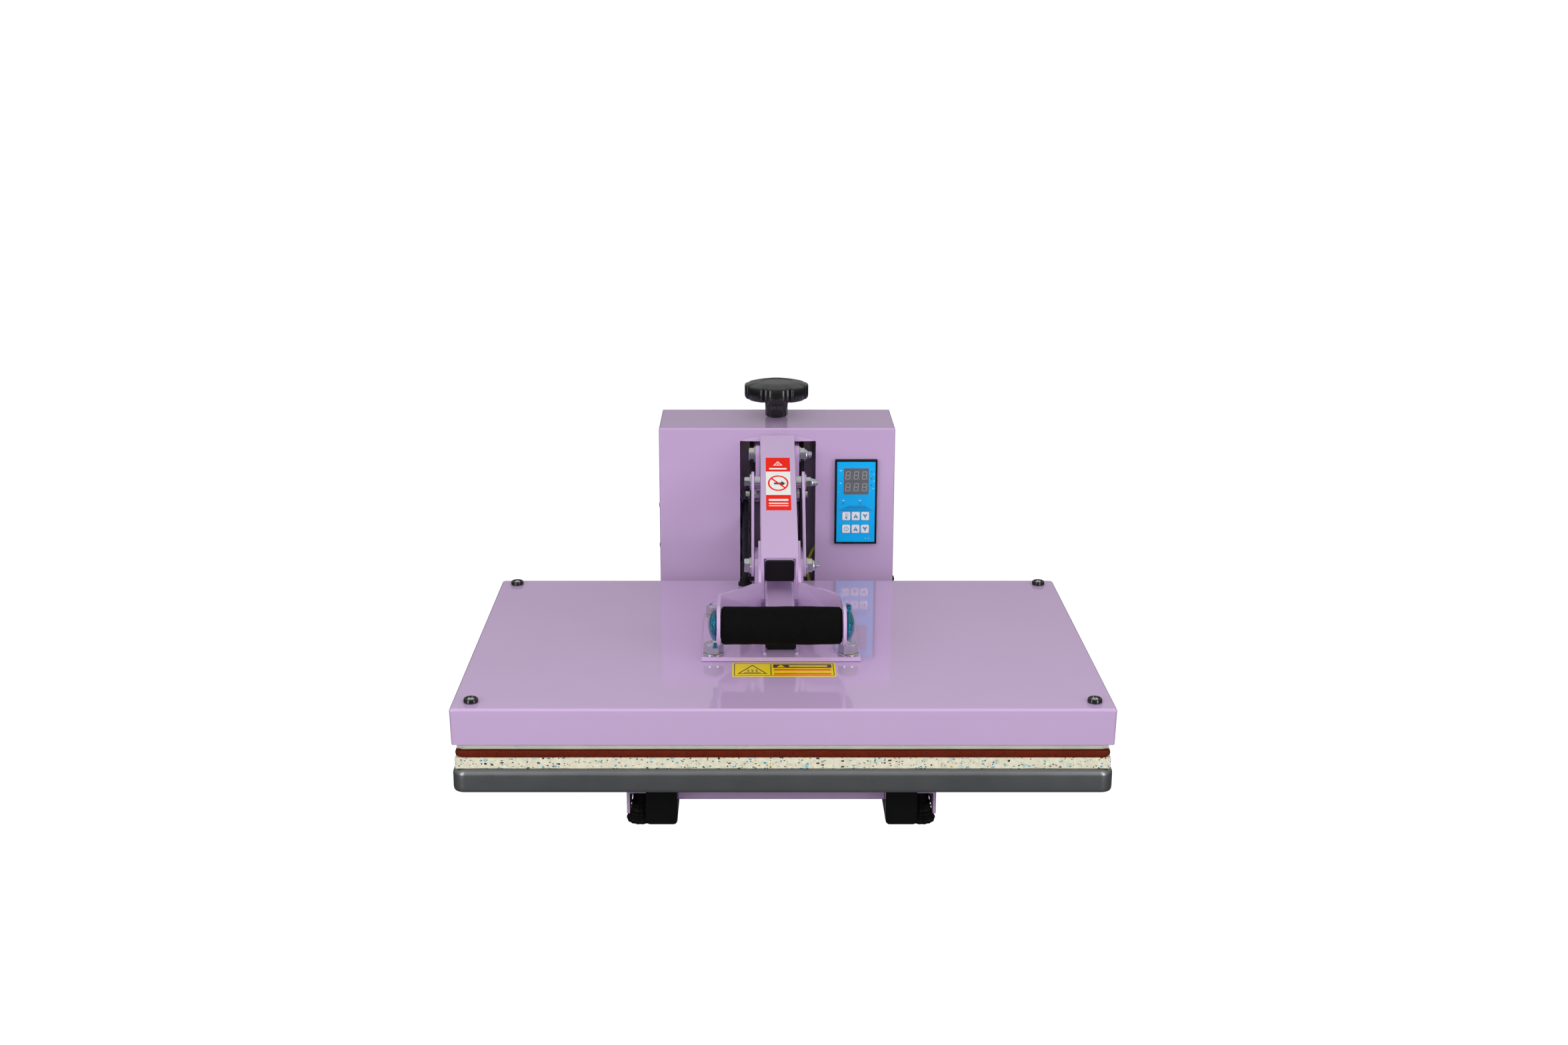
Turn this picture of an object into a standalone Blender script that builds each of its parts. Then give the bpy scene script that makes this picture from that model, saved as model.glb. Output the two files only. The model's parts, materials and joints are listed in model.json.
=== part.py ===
"""Clamshell heat press: lower tray with pads, hinged heated platen, toggle handle and control box.

Metres, +Z up, -Y towards the operator, origin on the bench under the middle of the machine.
Lengths below are written in millimetres and turned into metres when a shape is made.
"""
import math

import bmesh
import bpy
from mathutils import Matrix, Vector

MM = 0.001
GAP = 0.3

# ---- driving dimensions, mm ----
PLATEN_W, PLATEN_D = 610.0, 410.0
PLATEN_Y = -95.0                    # middle of the platens
PLATEN_FRONT = PLATEN_Y - PLATEN_D / 2
PLATEN_REAR = PLATEN_Y + PLATEN_D / 2
PAD_W, PAD_D = 600.0, 400.0
TRAY_WALL, TRAY_ROOF, TRAY_RIB = 7.0, 8.0, 40.0
RAIL_BOTTOM, RAIL_TOP = 13.0, 72.0
TRAY_TOP, FOAM_TOP, PAD_TOP = 94.9, 106.0, 113.0
SKIRT_BOTTOM, COVER_TOP = 120.0, 155.0
SHEET = 2.0
RAIL_X, RAIL_W = 115.0, 30.0
RAIL_FRONT, RAIL_REAR = -232.0, 290.0
FOOT_X, FOOT_TOP = 137.5, 40.0
FOOT_Y = (-193.0, 226.0)
BOX_W, BOX_FRONT, BOX_BACK, BOX_TOP = 268.0, 195.0, 297.7, 309.0
SLOT = (-42.0, 44.0, 100.0, 294.3)  # x low, x high, z low, z high
DECK_TOP = 76.4

# ---- pivots in the YZ plane, mm ----
ARM_PIVOT = (223.0, 225.0)
HANDLE_PIVOT = (171.0, 284.1)
LINK_REAR = (100.5, 269.3)
LINK_FRONT = (29.0, 195.7)
SCREW_Y = 260.0
SLOT_REACH = (-12.8, 2.2)           # from the front link pivot to the far end of its slot

# ---- linkage sections, mm (x is measured from the middle plane) ----
TUBE_HALF = 15.0
FLANGE_IN, FLANGE_OUT = 16.25, 19.25
CHEEK_IN, CHEEK_OUT, EAR_OUT = 15.3, 19.3, 25.5
FORK_IN, FORK_OUT = 19.6, 24.4
LINK_IN, LINK_OUT = 25.9, 29.1
POST_IN, POST_OUT = 27.0, 31.0
PLATE_TOP = 159.6
PLATE_HALF_W, PLATE_HALF_D = 78.0, 73.0
ARM_TUBE_TOP = 189.9
HANDLE_SLOPE = math.radians(17.2)
WEB_REAR = (184.0, 303.7)           # top of the channel's web at its rear end
CHANNEL_LENGTH, CHANNEL_DEPTH, CHANNEL_WALL = 251.0, 28.0, 3.0
GRIP = (-187.0, 198.5)
GRIP_R, GRIP_HALF, GRIP_TUBE_R = 18.3, 58.2, 12.5
EAR_IN = 58.7
KNOB_R, KNOB_FLUTE, KNOB_POINTS = 36.9, 2.6, 64

COLOURS = {
    "lilac": ((0.61, 0.46, 0.70, 1), 0.3, 0.0),
    "black": ((0.01, 0.01, 0.01, 1), 0.5, 0.0),
    "foam": ((0.80, 0.76, 0.62, 1), 0.9, 0.0),
    "silicone": ((0.25, 0.04, 0.015, 1), 0.8, 0.0),
    "cast": ((0.42, 0.43, 0.45, 1), 0.4, 0.9),
    "zinc": ((0.65, 0.66, 0.68, 1), 0.25, 1.0),
    "ivory": ((0.75, 0.72, 0.64, 1), 0.4, 0.0),
    "blue": ((0.0, 0.25, 0.65, 1), 0.35, 0.0),
    "white": ((0.85, 0.86, 0.88, 1), 0.4, 0.0),
    "teal": ((0.0, 0.28, 0.38, 1), 0.2, 0.8),
    "red": ((0.5, 0.01, 0.01, 1), 0.3, 0.0),
}

for old in list(bpy.data.objects):
    bpy.data.objects.remove(old, do_unlink=True)
PRESS = bpy.data.collections.new("heat_press")
CUTTERS = bpy.data.collections.new("cutters")
bpy.context.scene.collection.children.link(PRESS)
bpy.context.scene.collection.children.link(CUTTERS)


def material(name):
    found = bpy.data.materials.get(name)
    if found:
        return found
    colour, roughness, metallic = COLOURS[name]
    made = bpy.data.materials.new(name)
    made.use_nodes = True
    shader = made.node_tree.nodes["Principled BSDF"]
    shader.inputs["Base Color"].default_value = colour
    shader.inputs["Roughness"].default_value = roughness
    shader.inputs["Metallic"].default_value = metallic
    return made


def add(name, mesh, finish=None, smooth=False):
    """Put a mesh in the scene: as a part when it has a finish, else as a cutter or a joined piece."""
    obj = bpy.data.objects.new(name, mesh)
    if finish:
        PRESS.objects.link(obj)
        mesh.materials.append(material(finish))
    else:
        CUTTERS.objects.link(obj)
        obj.hide_render = True
        obj.display_type = "WIRE"
    if smooth:
        mesh.shade_smooth()
        mesh.set_sharp_from_angle(angle=math.radians(35))
    return obj


def block(name, low, high, finish=None, bevel=0.0, segments=2):
    """A cuboid between two corners."""
    mesh = bpy.data.meshes.new(name)
    bm = bmesh.new()
    bmesh.ops.create_cube(bm, size=1.0)
    size = [(h - l) * MM for l, h in zip(low, high)]
    middle = [(h + l) * MM / 2 for l, h in zip(low, high)]
    bmesh.ops.scale(bm, vec=size, verts=bm.verts)
    bmesh.ops.translate(bm, vec=middle, verts=bm.verts)
    bm.to_mesh(mesh)
    bm.free()
    obj = add(name, mesh, finish)
    if bevel:
        rounding = obj.modifiers.new("edges", "BEVEL")
        rounding.width = bevel * MM
        rounding.segments = segments
    return obj


PLANES = {
    "XY": Matrix.Identity(3),
    "YZ": Matrix(((0, 0, 1), (1, 0, 0), (0, 1, 0))),
    "XZ": Matrix(((1, 0, 0), (0, 0, -1), (0, 1, 0))),
}


def slab(name, loops, plane, low, high, finish=None):
    """A flat plate: closed outlines in a plane, holes included, between two levels of its normal."""
    if plane == "XZ":
        low, high = -high, -low
    curve = bpy.data.curves.new(name, "CURVE")
    curve.dimensions = "2D"
    curve.fill_mode = "BOTH"
    curve.extrude = (high - low) * MM / 2
    for loop in loops:
        spline = curve.splines.new("POLY")
        spline.points.add(len(loop) - 1)
        for point, (u, v) in zip(spline.points, loop):
            point.co = (u * MM, v * MM, 0, 1)
        spline.use_cyclic_u = True
    holder = bpy.data.objects.new(name + "_outline", curve)
    bpy.context.scene.collection.objects.link(holder)
    depsgraph = bpy.context.evaluated_depsgraph_get()
    mesh = bpy.data.meshes.new_from_object(holder.evaluated_get(depsgraph))
    bpy.data.objects.remove(holder)
    bpy.data.curves.remove(curve)
    bm = bmesh.new()
    bm.from_mesh(mesh)
    bmesh.ops.remove_doubles(bm, verts=bm.verts, dist=0.00001)
    bmesh.ops.translate(bm, vec=(0, 0, (high + low) * MM / 2), verts=bm.verts)
    bmesh.ops.transform(bm, matrix=PLANES[plane].to_4x4(), verts=bm.verts)
    bmesh.ops.recalc_face_normals(bm, faces=bm.faces)
    bm.to_mesh(mesh)
    bm.free()
    mesh.name = name
    return add(name, mesh, finish)


def circle(centre, radius, count=24, start=0.0, turn=360.0):
    """Points round a circle, or round an arc with both of its ends."""
    whole = abs(turn) >= 360.0
    steps = count if whole else count - 1
    angles = [math.radians(start + turn * i / steps) for i in range(count)]
    return [(centre[0] + radius * math.cos(a), centre[1] + radius * math.sin(a)) for a in angles]


def capsule(a, b, ra, rb=None, count=9):
    """Outline round two circles, from the first centre to the second."""
    rb = ra if rb is None else rb
    along = math.degrees(math.atan2(b[1] - a[1], b[0] - a[0]))
    return circle(a, ra, count, along + 90, 180) + circle(b, rb, count, along - 90, 180)


def rounded(low, high, radius, count=4):
    """Rectangle outline with round corners."""
    (x0, y0), (x1, y1) = low, high
    r = radius
    return (circle((x1 - r, y0 + r), r, count, -90, 90) + circle((x1 - r, y1 - r), r, count, 0, 90)
            + circle((x0 + r, y1 - r), r, count, 90, 90) + circle((x0 + r, y0 + r), r, count, 180, 90))


AXES = {
    "Z": Matrix.Identity(3),
    "X": Matrix(((0, 0, 1), (0, 1, 0), (-1, 0, 0))),
    "-X": Matrix(((0, 0, -1), (0, 1, 0), (1, 0, 0))),
    "-Y": Matrix(((1, 0, 0), (0, 0, -1), (0, 1, 0))),
}


def turned(name, profile, centre, axis="Z", finish=None, steps=24):
    """A turned shape: (radius, height) points down its outer side, spun round the axis."""
    mesh = bpy.data.meshes.new(name)
    points = [(r * MM, 0, z * MM) for r, z in profile]
    mesh.from_pydata(points, [(i, i + 1) for i in range(len(points) - 1)], [])
    obj = add(name, mesh, finish)
    screw = obj.modifiers.new("turn", "SCREW")
    screw.steps = steps
    screw.render_steps = steps
    screw.use_merge_vertices = True
    screw.merge_threshold = 0.00001
    screw.use_smooth_shade = True
    obj.matrix_world = Matrix.Translation(Vector(centre) * MM) @ AXES[axis].to_4x4()
    return obj


def rod(name, radius, low, high, centre, axis="Z", finish=None, steps=24):
    """A plain cylinder between two heights on the axis."""
    return turned(name, [(0, high), (radius, high), (radius, low), (0, low)], centre, axis, finish, steps)


def boolean(obj, other, operation):
    cut = obj.modifiers.new(operation.lower(), "BOOLEAN")
    cut.operation = operation
    cut.solver = "EXACT"
    cut.object = other


def cut(obj, *others):
    for other in others:
        boolean(obj, other, "DIFFERENCE")


def join(obj, *others):
    for other in others:
        boolean(obj, other, "UNION")


def axle_set(name, at, head, nut, shank, head_low, nut_high, spread):
    """A bolt along X: hexagon head on the left, hexagon nut and thread end on the right.

    spread lists (low, high, radius) collars on the shank, such as spacers and washers.
    """
    y, z = at
    bolt = rod(name, shank, head_low, nut_high + 5.0, (0, y, z), "X", "zinc", 16)
    left = slab(name + "_head", [circle(at, head, 6)], "YZ", head_low - 0.2, head_low + 6.0)
    right = slab(name + "_nut", [circle(at, nut, 6, 12)], "YZ", nut_high - 8.0, nut_high)
    join(bolt, left, right)
    for i, (low, high, radius) in enumerate(spread):
        join(bolt, rod("%s_collar_%d" % (name, i), radius, low, high, (0, y, z), "X", None, 16))
    return bolt


def base():
    """Two rectangular-tube rails, a front cross tube, the rear deck, end plugs, brackets and feet."""
    for side, sign in (("left", -1), ("right", 1)):
        x_in, x_out = RAIL_X - RAIL_W / 2, RAIL_X + RAIL_W / 2
        low, high = sorted((sign * x_in, sign * x_out))
        outer = rounded((low, RAIL_BOTTOM), (high, RAIL_TOP), 3)
        inner = rounded((low + 2, RAIL_BOTTOM + 2), (high - 2, RAIL_TOP - 2), 1.5, 3)
        slab("rail_" + side, [outer, inner], "XZ", RAIL_FRONT, RAIL_REAR, "lilac")
        plug = slab("rail_plug_" + side, [outer], "XZ", RAIL_FRONT - 3, RAIL_FRONT - GAP, "black")
        bung = rounded((low + 2.5, RAIL_BOTTOM + 2.5), (high - 2.5, RAIL_TOP - 2.5), 1, 3)
        stub = slab("rail_stub_" + side, [bung], "XZ", RAIL_FRONT - 1, RAIL_FRONT + 18)
        join(plug, stub)
        flange = [(x_out + GAP, 41), (146, 41), (146, 20), (149, 20), (149, 44), (x_out + GAP, 44)]
        bracket = [(sign * x, z) for x, z in flange]
        slab("foot_bracket_" + side, [bracket], "XZ", -225, 262, "lilac")
        for end, y in zip(("front", "rear"), FOOT_Y):
            profile = [(0, FOOT_TOP), (7.2, FOOT_TOP), (7.2, 12.4), (11.5, 11), (13.5, 3), (12.5, 0), (0, 0)]
            turned("foot_%s_%s" % (end, side), profile, (sign * FOOT_X, y, 0), "Z", "black", 20)
    reach = RAIL_X - RAIL_W / 2 - GAP
    slab("front_cross_tube", [rounded((-215, 30), (-185, 71.7), 2.5, 3), rounded((-213, 32), (-187, 69.7), 1, 3)],
         "YZ", -reach, reach, "lilac")
    block("deck_plate", (-134, 118, RAIL_TOP + GAP), (134, 297.7, DECK_TOP), "lilac")


def lower_platen():
    """Cast tray with the foam pad and the silicone pad on it."""
    front, rear = PLATEN_FRONT, PLATEN_REAR
    half = PLATEN_W / 2 - 2
    tray = block("lower_tray", (-half, front + 1, RAIL_TOP + 0.4), (half, rear - 1, TRAY_TOP), "cast", 5.0)
    wall, rib_in, rib_out = TRAY_WALL, RAIL_X - TRAY_RIB / 2, RAIL_X + TRAY_RIB / 2
    for i, (low, high) in enumerate(((wall - half, -rib_out), (-rib_in, rib_in), (rib_out, half - wall))):
        hollow = block("tray_hollow_%d" % i, (low, front + 1 + wall, RAIL_TOP - 5),
                       (high, rear - 1 - wall, TRAY_TOP - TRAY_ROOF))
        cut(tray, hollow)
    pad = PAD_W / 2
    y_low, y_high = PLATEN_Y - PAD_D / 2, PLATEN_Y + PAD_D / 2
    block("foam_pad", (-pad, y_low, TRAY_TOP + GAP), (pad, y_high, FOAM_TOP - GAP), "foam", 1.0)
    block("silicone_pad", (-pad, y_low, FOAM_TOP), (pad, y_high, PAD_TOP - GAP), "silicone", 0.8)


def control_box():
    """Bent sheet cover over the post, with its back cover, controller, inlet, switch and relay."""
    half = BOX_W / 2
    bottom = DECK_TOP + GAP
    shell = block("control_box", (-half, BOX_FRONT, bottom), (half, BOX_BACK, BOX_TOP), "lilac")
    inner = block("box_hollow", (SHEET - half, BOX_FRONT + SHEET, bottom - 5),
                  (half - SHEET, BOX_BACK + 5, BOX_TOP - SHEET))
    slot = block("box_slot", (SLOT[0], BOX_FRONT - 5, SLOT[2]), (SLOT[1], BOX_FRONT + 6, SLOT[3]))
    window = block("box_window", (67.5, BOX_FRONT - 5, 178.5), (112.5, BOX_FRONT + 6, 270.0))
    screw_hole = rod("box_screw_hole", 7, BOX_TOP - 8, BOX_TOP + 4, (0, SCREW_Y, 0), "Z", None, 16)
    rocker_hole = block("box_rocker_hole", (half - 6, 227.5, 97.5), (half + 5, 242.5, 124.5))
    cut(shell, inner, slot, window, screw_hole, rocker_hole)

    back = block("box_back_cover", (-half, BOX_BACK + GAP, bottom), (half, 300, BOX_TOP), "lilac")
    cut(back, block("inlet_hole", (-84.5, 290, 98.5), (-55.5, 305, 121.5)))
    inlet = slab("power_inlet", [rounded((-94, 97), (-46, 123), 3)], "XZ", 296.0, 297.6, "black")
    cup = block("inlet_cup", (-84, 270, 99), (-56, 299.5, 121))
    mouth = block("inlet_mouth", (-81.5, 276, 101.5), (-58.5, 305, 118.5))
    join(inlet, cup)
    cut(inlet, mouth)
    block("solid_state_relay", (-112, 212, DECK_TOP + GAP), (-52, 257, 99), "black", 1.0)
    turned("screw_bush", [(6.4, 306.7), (13, 306.7), (13, 299), (6.4, 299), (6.4, 306.7)],
           (0, SCREW_Y, 0), "Z", "zinc", 16)


def controller():
    """Panel controller: case with a bezel, coloured face, and six keys that press in."""
    low_x, high_x, low_z, high_z = 66.0, 114.0, 175.0, 273.5
    case = block("controller_case", (low_x, 188.5, low_z), (high_x, BOX_FRONT - GAP, high_z), "black")
    body = block("controller_body", (low_x + 2, 193, low_z + 4), (high_x - 2, 255, high_z - 4))
    recess = block("controller_recess", (low_x + 1.9, 180, low_z + 1.9), (high_x - 1.9, 191.5, high_z - 1.9))
    join(case, body)
    cut(case, recess)
    face = block("controller_face", (low_x + 2.2, 188.9, low_z + 2.2), (high_x - 2.2, 189.7, high_z - 2.2), "blue")
    for row, z in (("temperature", 207.8), ("time", 192.7)):
        for key, x in (("set", 79.3), ("up", 90.0), ("down", 100.7)):
            name = "%s_%s_key" % (row, key)
            cut(face, block(name + "_hole", (x - 4.9, 180, z - 5.1), (x + 4.9, 200, z + 5.1)))
            block(name, (x - 4.6, 188.3, z - 4.8), (x + 4.6, 190.6, z + 4.8), "white")


def posts():
    """Two upright plates that carry the arm's pivot shaft and guide the pressure yoke."""
    y, z = ARM_PIVOT
    outline = [(204, DECK_TOP + GAP), (288, DECK_TOP + GAP), (288, 298), (236, 298), (204, 262)]
    for side, sign in (("left", -1), ("right", 1)):
        low, high = sorted((sign * POST_IN, sign * POST_OUT))
        slab("post_" + side, [outline, circle((y, z), 7.3)], "YZ", low, high, "lilac")
    shaft = rod("arm_pivot_shaft", 7, -36, 36, (0, y, z), "X", "zinc", 20)
    for i, (low, high) in enumerate(((-POST_IN + GAP, -CHEEK_OUT - GAP), (CHEEK_OUT + GAP, POST_IN - GAP))):
        join(shaft, rod("shaft_collar_%d" % i, 11, low, high, (0, y, z), "X"))


def link_slot():
    """Long hole in the ears: the front link pin moves along it while the press opens."""
    y, z = LINK_FRONT
    far = (y + SLOT_REACH[0], z + SLOT_REACH[1])
    return capsule((y, z), far, 7.6)


def arm():
    """Upper platen, its cover and mounting plate, and the tube and cheeks back to the pivot."""
    half = PLATEN_W / 2
    front, rear = PLATEN_FRONT, PLATEN_REAR
    bolts = [(end, side, sx * 66.0, PLATEN_Y + sy * 62.0)
             for end, sy in (("front", -1), ("rear", 1)) for side, sx in (("left", -1), ("right", 1))]
    cover = block("platen_cover", (-half, front, SKIRT_BOTTOM), (half, rear, COVER_TOP), "lilac")
    inner = block("cover_hollow", (-half + SHEET, front + SHEET, SKIRT_BOTTOM - 5),
                  (half - SHEET, rear - SHEET, COVER_TOP - SHEET))
    cut(cover, inner)
    plate = block("mounting_plate", (-PLATE_HALF_W, PLATEN_Y - PLATE_HALF_D, COVER_TOP + GAP),
                  (PLATE_HALF_W, PLATEN_Y + PLATE_HALF_D, PLATE_TOP), "lilac", 0.6)
    pad, pad_front, pad_rear = PAD_W / 2, PLATEN_Y - PAD_D / 2, PLATEN_Y + PAD_D / 2
    block("heat_platen", (-pad, pad_front, PAD_TOP), (pad, pad_rear, 131), "ivory", 1.0)
    insulation = block("insulation_board", (-295, pad_front + 5, 131.3),
                       (295, pad_rear - 5, COVER_TOP - SHEET - GAP), "foam")
    for end, side, x, y in bolts:
        name = "platen_bolt_%s_%s" % (end, side)
        hole = rod(name + "_hole", 5.4, 125, 165, (x, y, 0), "Z", None, 16)
        cut(cover, hole)
        cut(plate, hole)
        cut(insulation, hole)
        base_z = PLATE_TOP + GAP
        profile = [(0, base_z + 2.5), (10.5, base_z + 2), (10.5, base_z), (5, base_z), (5, 131.3), (0, 131.3)]
        bolt = turned(name, profile, (x, y, 0), "Z", "zinc", 20)
        join(bolt, slab(name + "_head", [circle((x, y), 9.3, 6, 8)], "XY", base_z + 1, base_z + 12))

    low, high = PLATE_TOP + GAP, ARM_TUBE_TOP
    slab("arm_tube", [rounded((-TUBE_HALF, low), (TUBE_HALF, high), 3),
                      rounded((-TUBE_HALF + 2, low + 2), (TUBE_HALF - 2, high - 2), 1.5, 3)],
         "XZ", -142.7, 190, "lilac")
    plug = slab("arm_tube_plug", [rounded((-TUBE_HALF, low), (TUBE_HALF, high), 3)], "XZ", -145, -143, "black")
    join(plug, slab("arm_plug_stub", [rounded((-12.5, low + 2.5), (12.5, high - 2.5), 1, 3)], "XZ", -144, -130))
    y, z = ARM_PIVOT
    outline = ([(0, 163), (60, 163), (188, 166)] + circle((y, z), 16, 13, -80, 170)
               + [(200, 224), (178, 205), (150, 198), (52, 198), (46, 211), (0, 211), (-6, 205), (-6, 169)])
    ear = [(-6, 169), (0, 163), (46, 163), (52, 169), (52, 205), (46, 211), (0, 211), (-6, 205)]
    for side, sign in (("left", -1), ("right", 1)):
        low_x, high_x = sorted((sign * CHEEK_IN, sign * CHEEK_OUT))
        cheek = slab("arm_cheek_" + side, [outline, circle((y, z), 7.3), link_slot()], "YZ", low_x, high_x, "lilac")
        low_x, high_x = sorted((sign * (CHEEK_OUT - 0.5), sign * EAR_OUT))
        join(cheek, slab("arm_ear_" + side, [ear, link_slot()], "YZ", low_x, high_x))
    heater_cable()


def heater_cable():
    """Sleeved supply cable from the cover's rear edge to the pivot, clipped along the arm."""
    route = [(-36, 92, 155.4), (-36, 92, 163), (-36, 95, 170), (-36, 103, 175), (-36, 115, 178), (-36, 135, 181),
             (-36, 160, 188), (-36, 182, 198), (-36, 200, 210), (-36, 214, 218.5)]
    curve = bpy.data.curves.new("heater_cable", "CURVE")
    curve.dimensions = "3D"
    curve.bevel_depth = 3.2 * MM
    curve.bevel_resolution = 2
    curve.use_fill_caps = True
    spline = curve.splines.new("POLY")
    spline.points.add(len(route) - 1)
    for point, place in zip(spline.points, route):
        point.co = (*(v * MM for v in place), 1)
    obj = bpy.data.objects.new("heater_cable", curve)
    PRESS.objects.link(obj)
    curve.materials.append(material("white"))


def wing(side, sign):
    """Bent plate from the channel's flange out to the grip's end, with a round eye for the grip tube."""
    stations = [(20.3, -18, 236, 213), (20.3, -67, 206, 178), (60.2, -134, 213, 187), (60.2, -176, 213, 187)]
    mesh = bpy.data.meshes.new("wing_" + side)
    bm = bmesh.new()
    rows = [[bm.verts.new((sign * x * MM, y * MM, z * MM)) for z in (top, bottom)]
            for x, y, top, bottom in stations]
    for a, b in zip(rows, rows[1:]):
        bm.faces.new((a[0], a[1], b[1], b[0]))
    bm.to_mesh(mesh)
    bm.free()
    strip = add("wing_" + side, mesh)
    wall = strip.modifiers.new("wall", "SOLIDIFY")
    wall.thickness = CHANNEL_WALL * MM
    wall.offset = 0
    low, high = sorted((sign * EAR_IN, sign * (EAR_IN + 3.2)))
    eye = slab("grip_eye_" + side, [capsule((-140, 200), GRIP, 12.6, 20)], "YZ", low, high)
    return strip, eye


def handle():
    """Folded channel with spread wings, its stiffening tube and plug, and the foam-covered grip."""
    frame = Matrix.Translation(Vector((0, *WEB_REAR)) * MM) @ Matrix.Rotation(HANDLE_SLOPE, 4, "X")
    length, depth, wall = CHANNEL_LENGTH, CHANNEL_DEPTH, CHANNEL_WALL
    channel = block("handle_channel", (-FLANGE_OUT, -length, -wall), (FLANGE_OUT, 0, 0), "lilac", 0.8)
    side_view = [(0, -1.5), (-length, -1.5), (-length - 6, -depth), (-9, -depth), (0, -16)]
    for side, sign in (("left", -1), ("right", 1)):
        low, high = sorted((sign * FLANGE_IN, sign * (FLANGE_OUT - 0.02)))
        flange = slab("flange_" + side, [side_view], "YZ", low, high)
        flange.matrix_world = frame
        join(channel, flange)
        join(channel, *wing(side, sign))
    channel.matrix_world = frame
    for i, at in enumerate((HANDLE_PIVOT, LINK_REAR)):
        cut(channel, rod("channel_hole_%d" % i, 4.4, -40, 40, (0, *at), "X", None, 16))
    cut(channel, rod("grip_hole", GRIP_TUBE_R + GAP, -70, 70, (0, *GRIP), "X"))

    top, bottom = -wall - GAP, -depth
    tube = slab("handle_tube", [rounded((-TUBE_HALF, bottom), (TUBE_HALF, top), 3),
                                rounded((-13, bottom + 2), (13, top - 2), 1.5, 3)], "XZ", -length, -122, "lilac")
    plug = slab("handle_tube_plug", [rounded((-TUBE_HALF, bottom), (TUBE_HALF, top), 3)],
                "XZ", -length - 3.5, -length - GAP, "black")
    stub = slab("handle_plug_stub", [rounded((-12.5, bottom + 2.5), (12.5, top - 2.5), 1, 3)],
                "XZ", -length - 1, -length + 14)
    join(plug, stub)
    for piece in (tube, plug, stub):
        piece.matrix_world = frame

    place = (0, *GRIP)
    end = EAR_IN + 3.4
    turned("grip_tube", [(10.5, end), (GRIP_TUBE_R, end), (GRIP_TUBE_R, -end), (10.5, -end), (10.5, end)],
           place, "X", "lilac", 24)
    inner = GRIP_TUBE_R + GAP
    turned("foam_grip", [(inner, GRIP_HALF), (GRIP_R - 2, GRIP_HALF), (GRIP_R, GRIP_HALF - 2),
                         (GRIP_R, 2 - GRIP_HALF), (GRIP_R - 2, -GRIP_HALF), (inner, -GRIP_HALF), (inner, GRIP_HALF)],
           place, "X", "black", 24)
    dome = [(0, 8), (6, 7.2), (11, 5), (15, 1.2), (15, 0), (10.2, 0), (10.2, -12), (0, -12)]
    for side, axis, sign in (("left", "-X", -1), ("right", "X", 1)):
        turned("grip_cap_" + side, dome, (sign * (end + GAP), *GRIP), axis, "teal", 24)


def linkage():
    """Link bars, the three pivot bolts, the pressure yoke and its knob and screw."""
    for side, sign in (("left", -1), ("right", 1)):
        low, high = sorted((sign * LINK_IN, sign * LINK_OUT))
        slab("link_" + side, [capsule(LINK_REAR, LINK_FRONT, 12), circle(LINK_REAR, 4.4, 16),
                              circle(LINK_FRONT, 4.4, 16)], "YZ", low, high, "lilac")
    washers = [(-LINK_OUT - 1.7, -LINK_OUT - GAP, 9), (LINK_OUT + GAP, LINK_OUT + 1.7, 9)]
    spacers = [(-LINK_IN + GAP, -FLANGE_OUT - GAP, 7), (FLANGE_OUT + GAP, LINK_IN - GAP, 7)]
    axle_set("link_bolt_rear", LINK_REAR, 5.8, 5.8, 4, -LINK_OUT - 7.4, LINK_OUT + 9.4, washers + spacers)
    axle_set("link_bolt_front", LINK_FRONT, 7.5, 7.5, 4, -LINK_OUT - 7.4, LINK_OUT + 9.4, washers)
    washers = [(-FORK_OUT - 1.7, -FORK_OUT - GAP, 9), (FORK_OUT + GAP, FORK_OUT + 1.7, 9)]
    axle_set("handle_pivot_bolt", HANDLE_PIVOT, 7.5, 7.5, 4, -FORK_OUT - 7.4, FORK_OUT + 9.4, washers)

    yoke = block("pressure_yoke", (-POST_IN + GAP, 242, 262), (POST_IN - GAP, 280, 296.5), "lilac")
    y, z = HANDLE_PIVOT
    fork = (circle((y, z), 10, 9, 90, 90) + [(161, 250), (168, 243), (186, 243), (206, 262)]
            + [(250, 262), (250, 290), (188, 290), (180, 293)])
    for side, sign in (("left", -1), ("right", 1)):
        low, high = sorted((sign * FORK_IN, sign * FORK_OUT))
        join(yoke, slab("fork_" + side, [fork, circle(HANDLE_PIVOT, 4.4, 16)], "YZ", low, high))

    step = 360.0 / KNOB_POINTS
    lobes = [(math.radians(step * i), KNOB_R - KNOB_FLUTE * max(0.0, -math.cos(math.radians(8 * step * i))) ** 2)
             for i in range(KNOB_POINTS)]
    outline = [(r * math.cos(a), SCREW_Y + r * math.sin(a)) for a, r in lobes]
    knob = slab("pressure_knob", [outline], "XY", 331, 351, "black")
    join(knob, turned("knob_stem", [(0, 333), (15, 333), (13, 328), (13, 310.5), (0, 310.5)], (0, SCREW_Y, 0)))
    cut(knob, rod("knob_bore", 6.3, 300, 326, (0, SCREW_Y, 0), "Z", None, 16))
    rod("pressure_screw", 6, 297, 325.5, (0, SCREW_Y, 0), "Z", "zinc", 16)


def rocker():
    """Rocking power switch in the right side of the box."""
    x = BOX_W / 2
    side_view = [(x - 7, 100.5), (x + 1.2, 100.5), (x + 1.0, 111), (x + 4.6, 121.5), (x - 7, 121.5)]
    slab("power_switch", [side_view], "XZ", 228, 242, "black")


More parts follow.
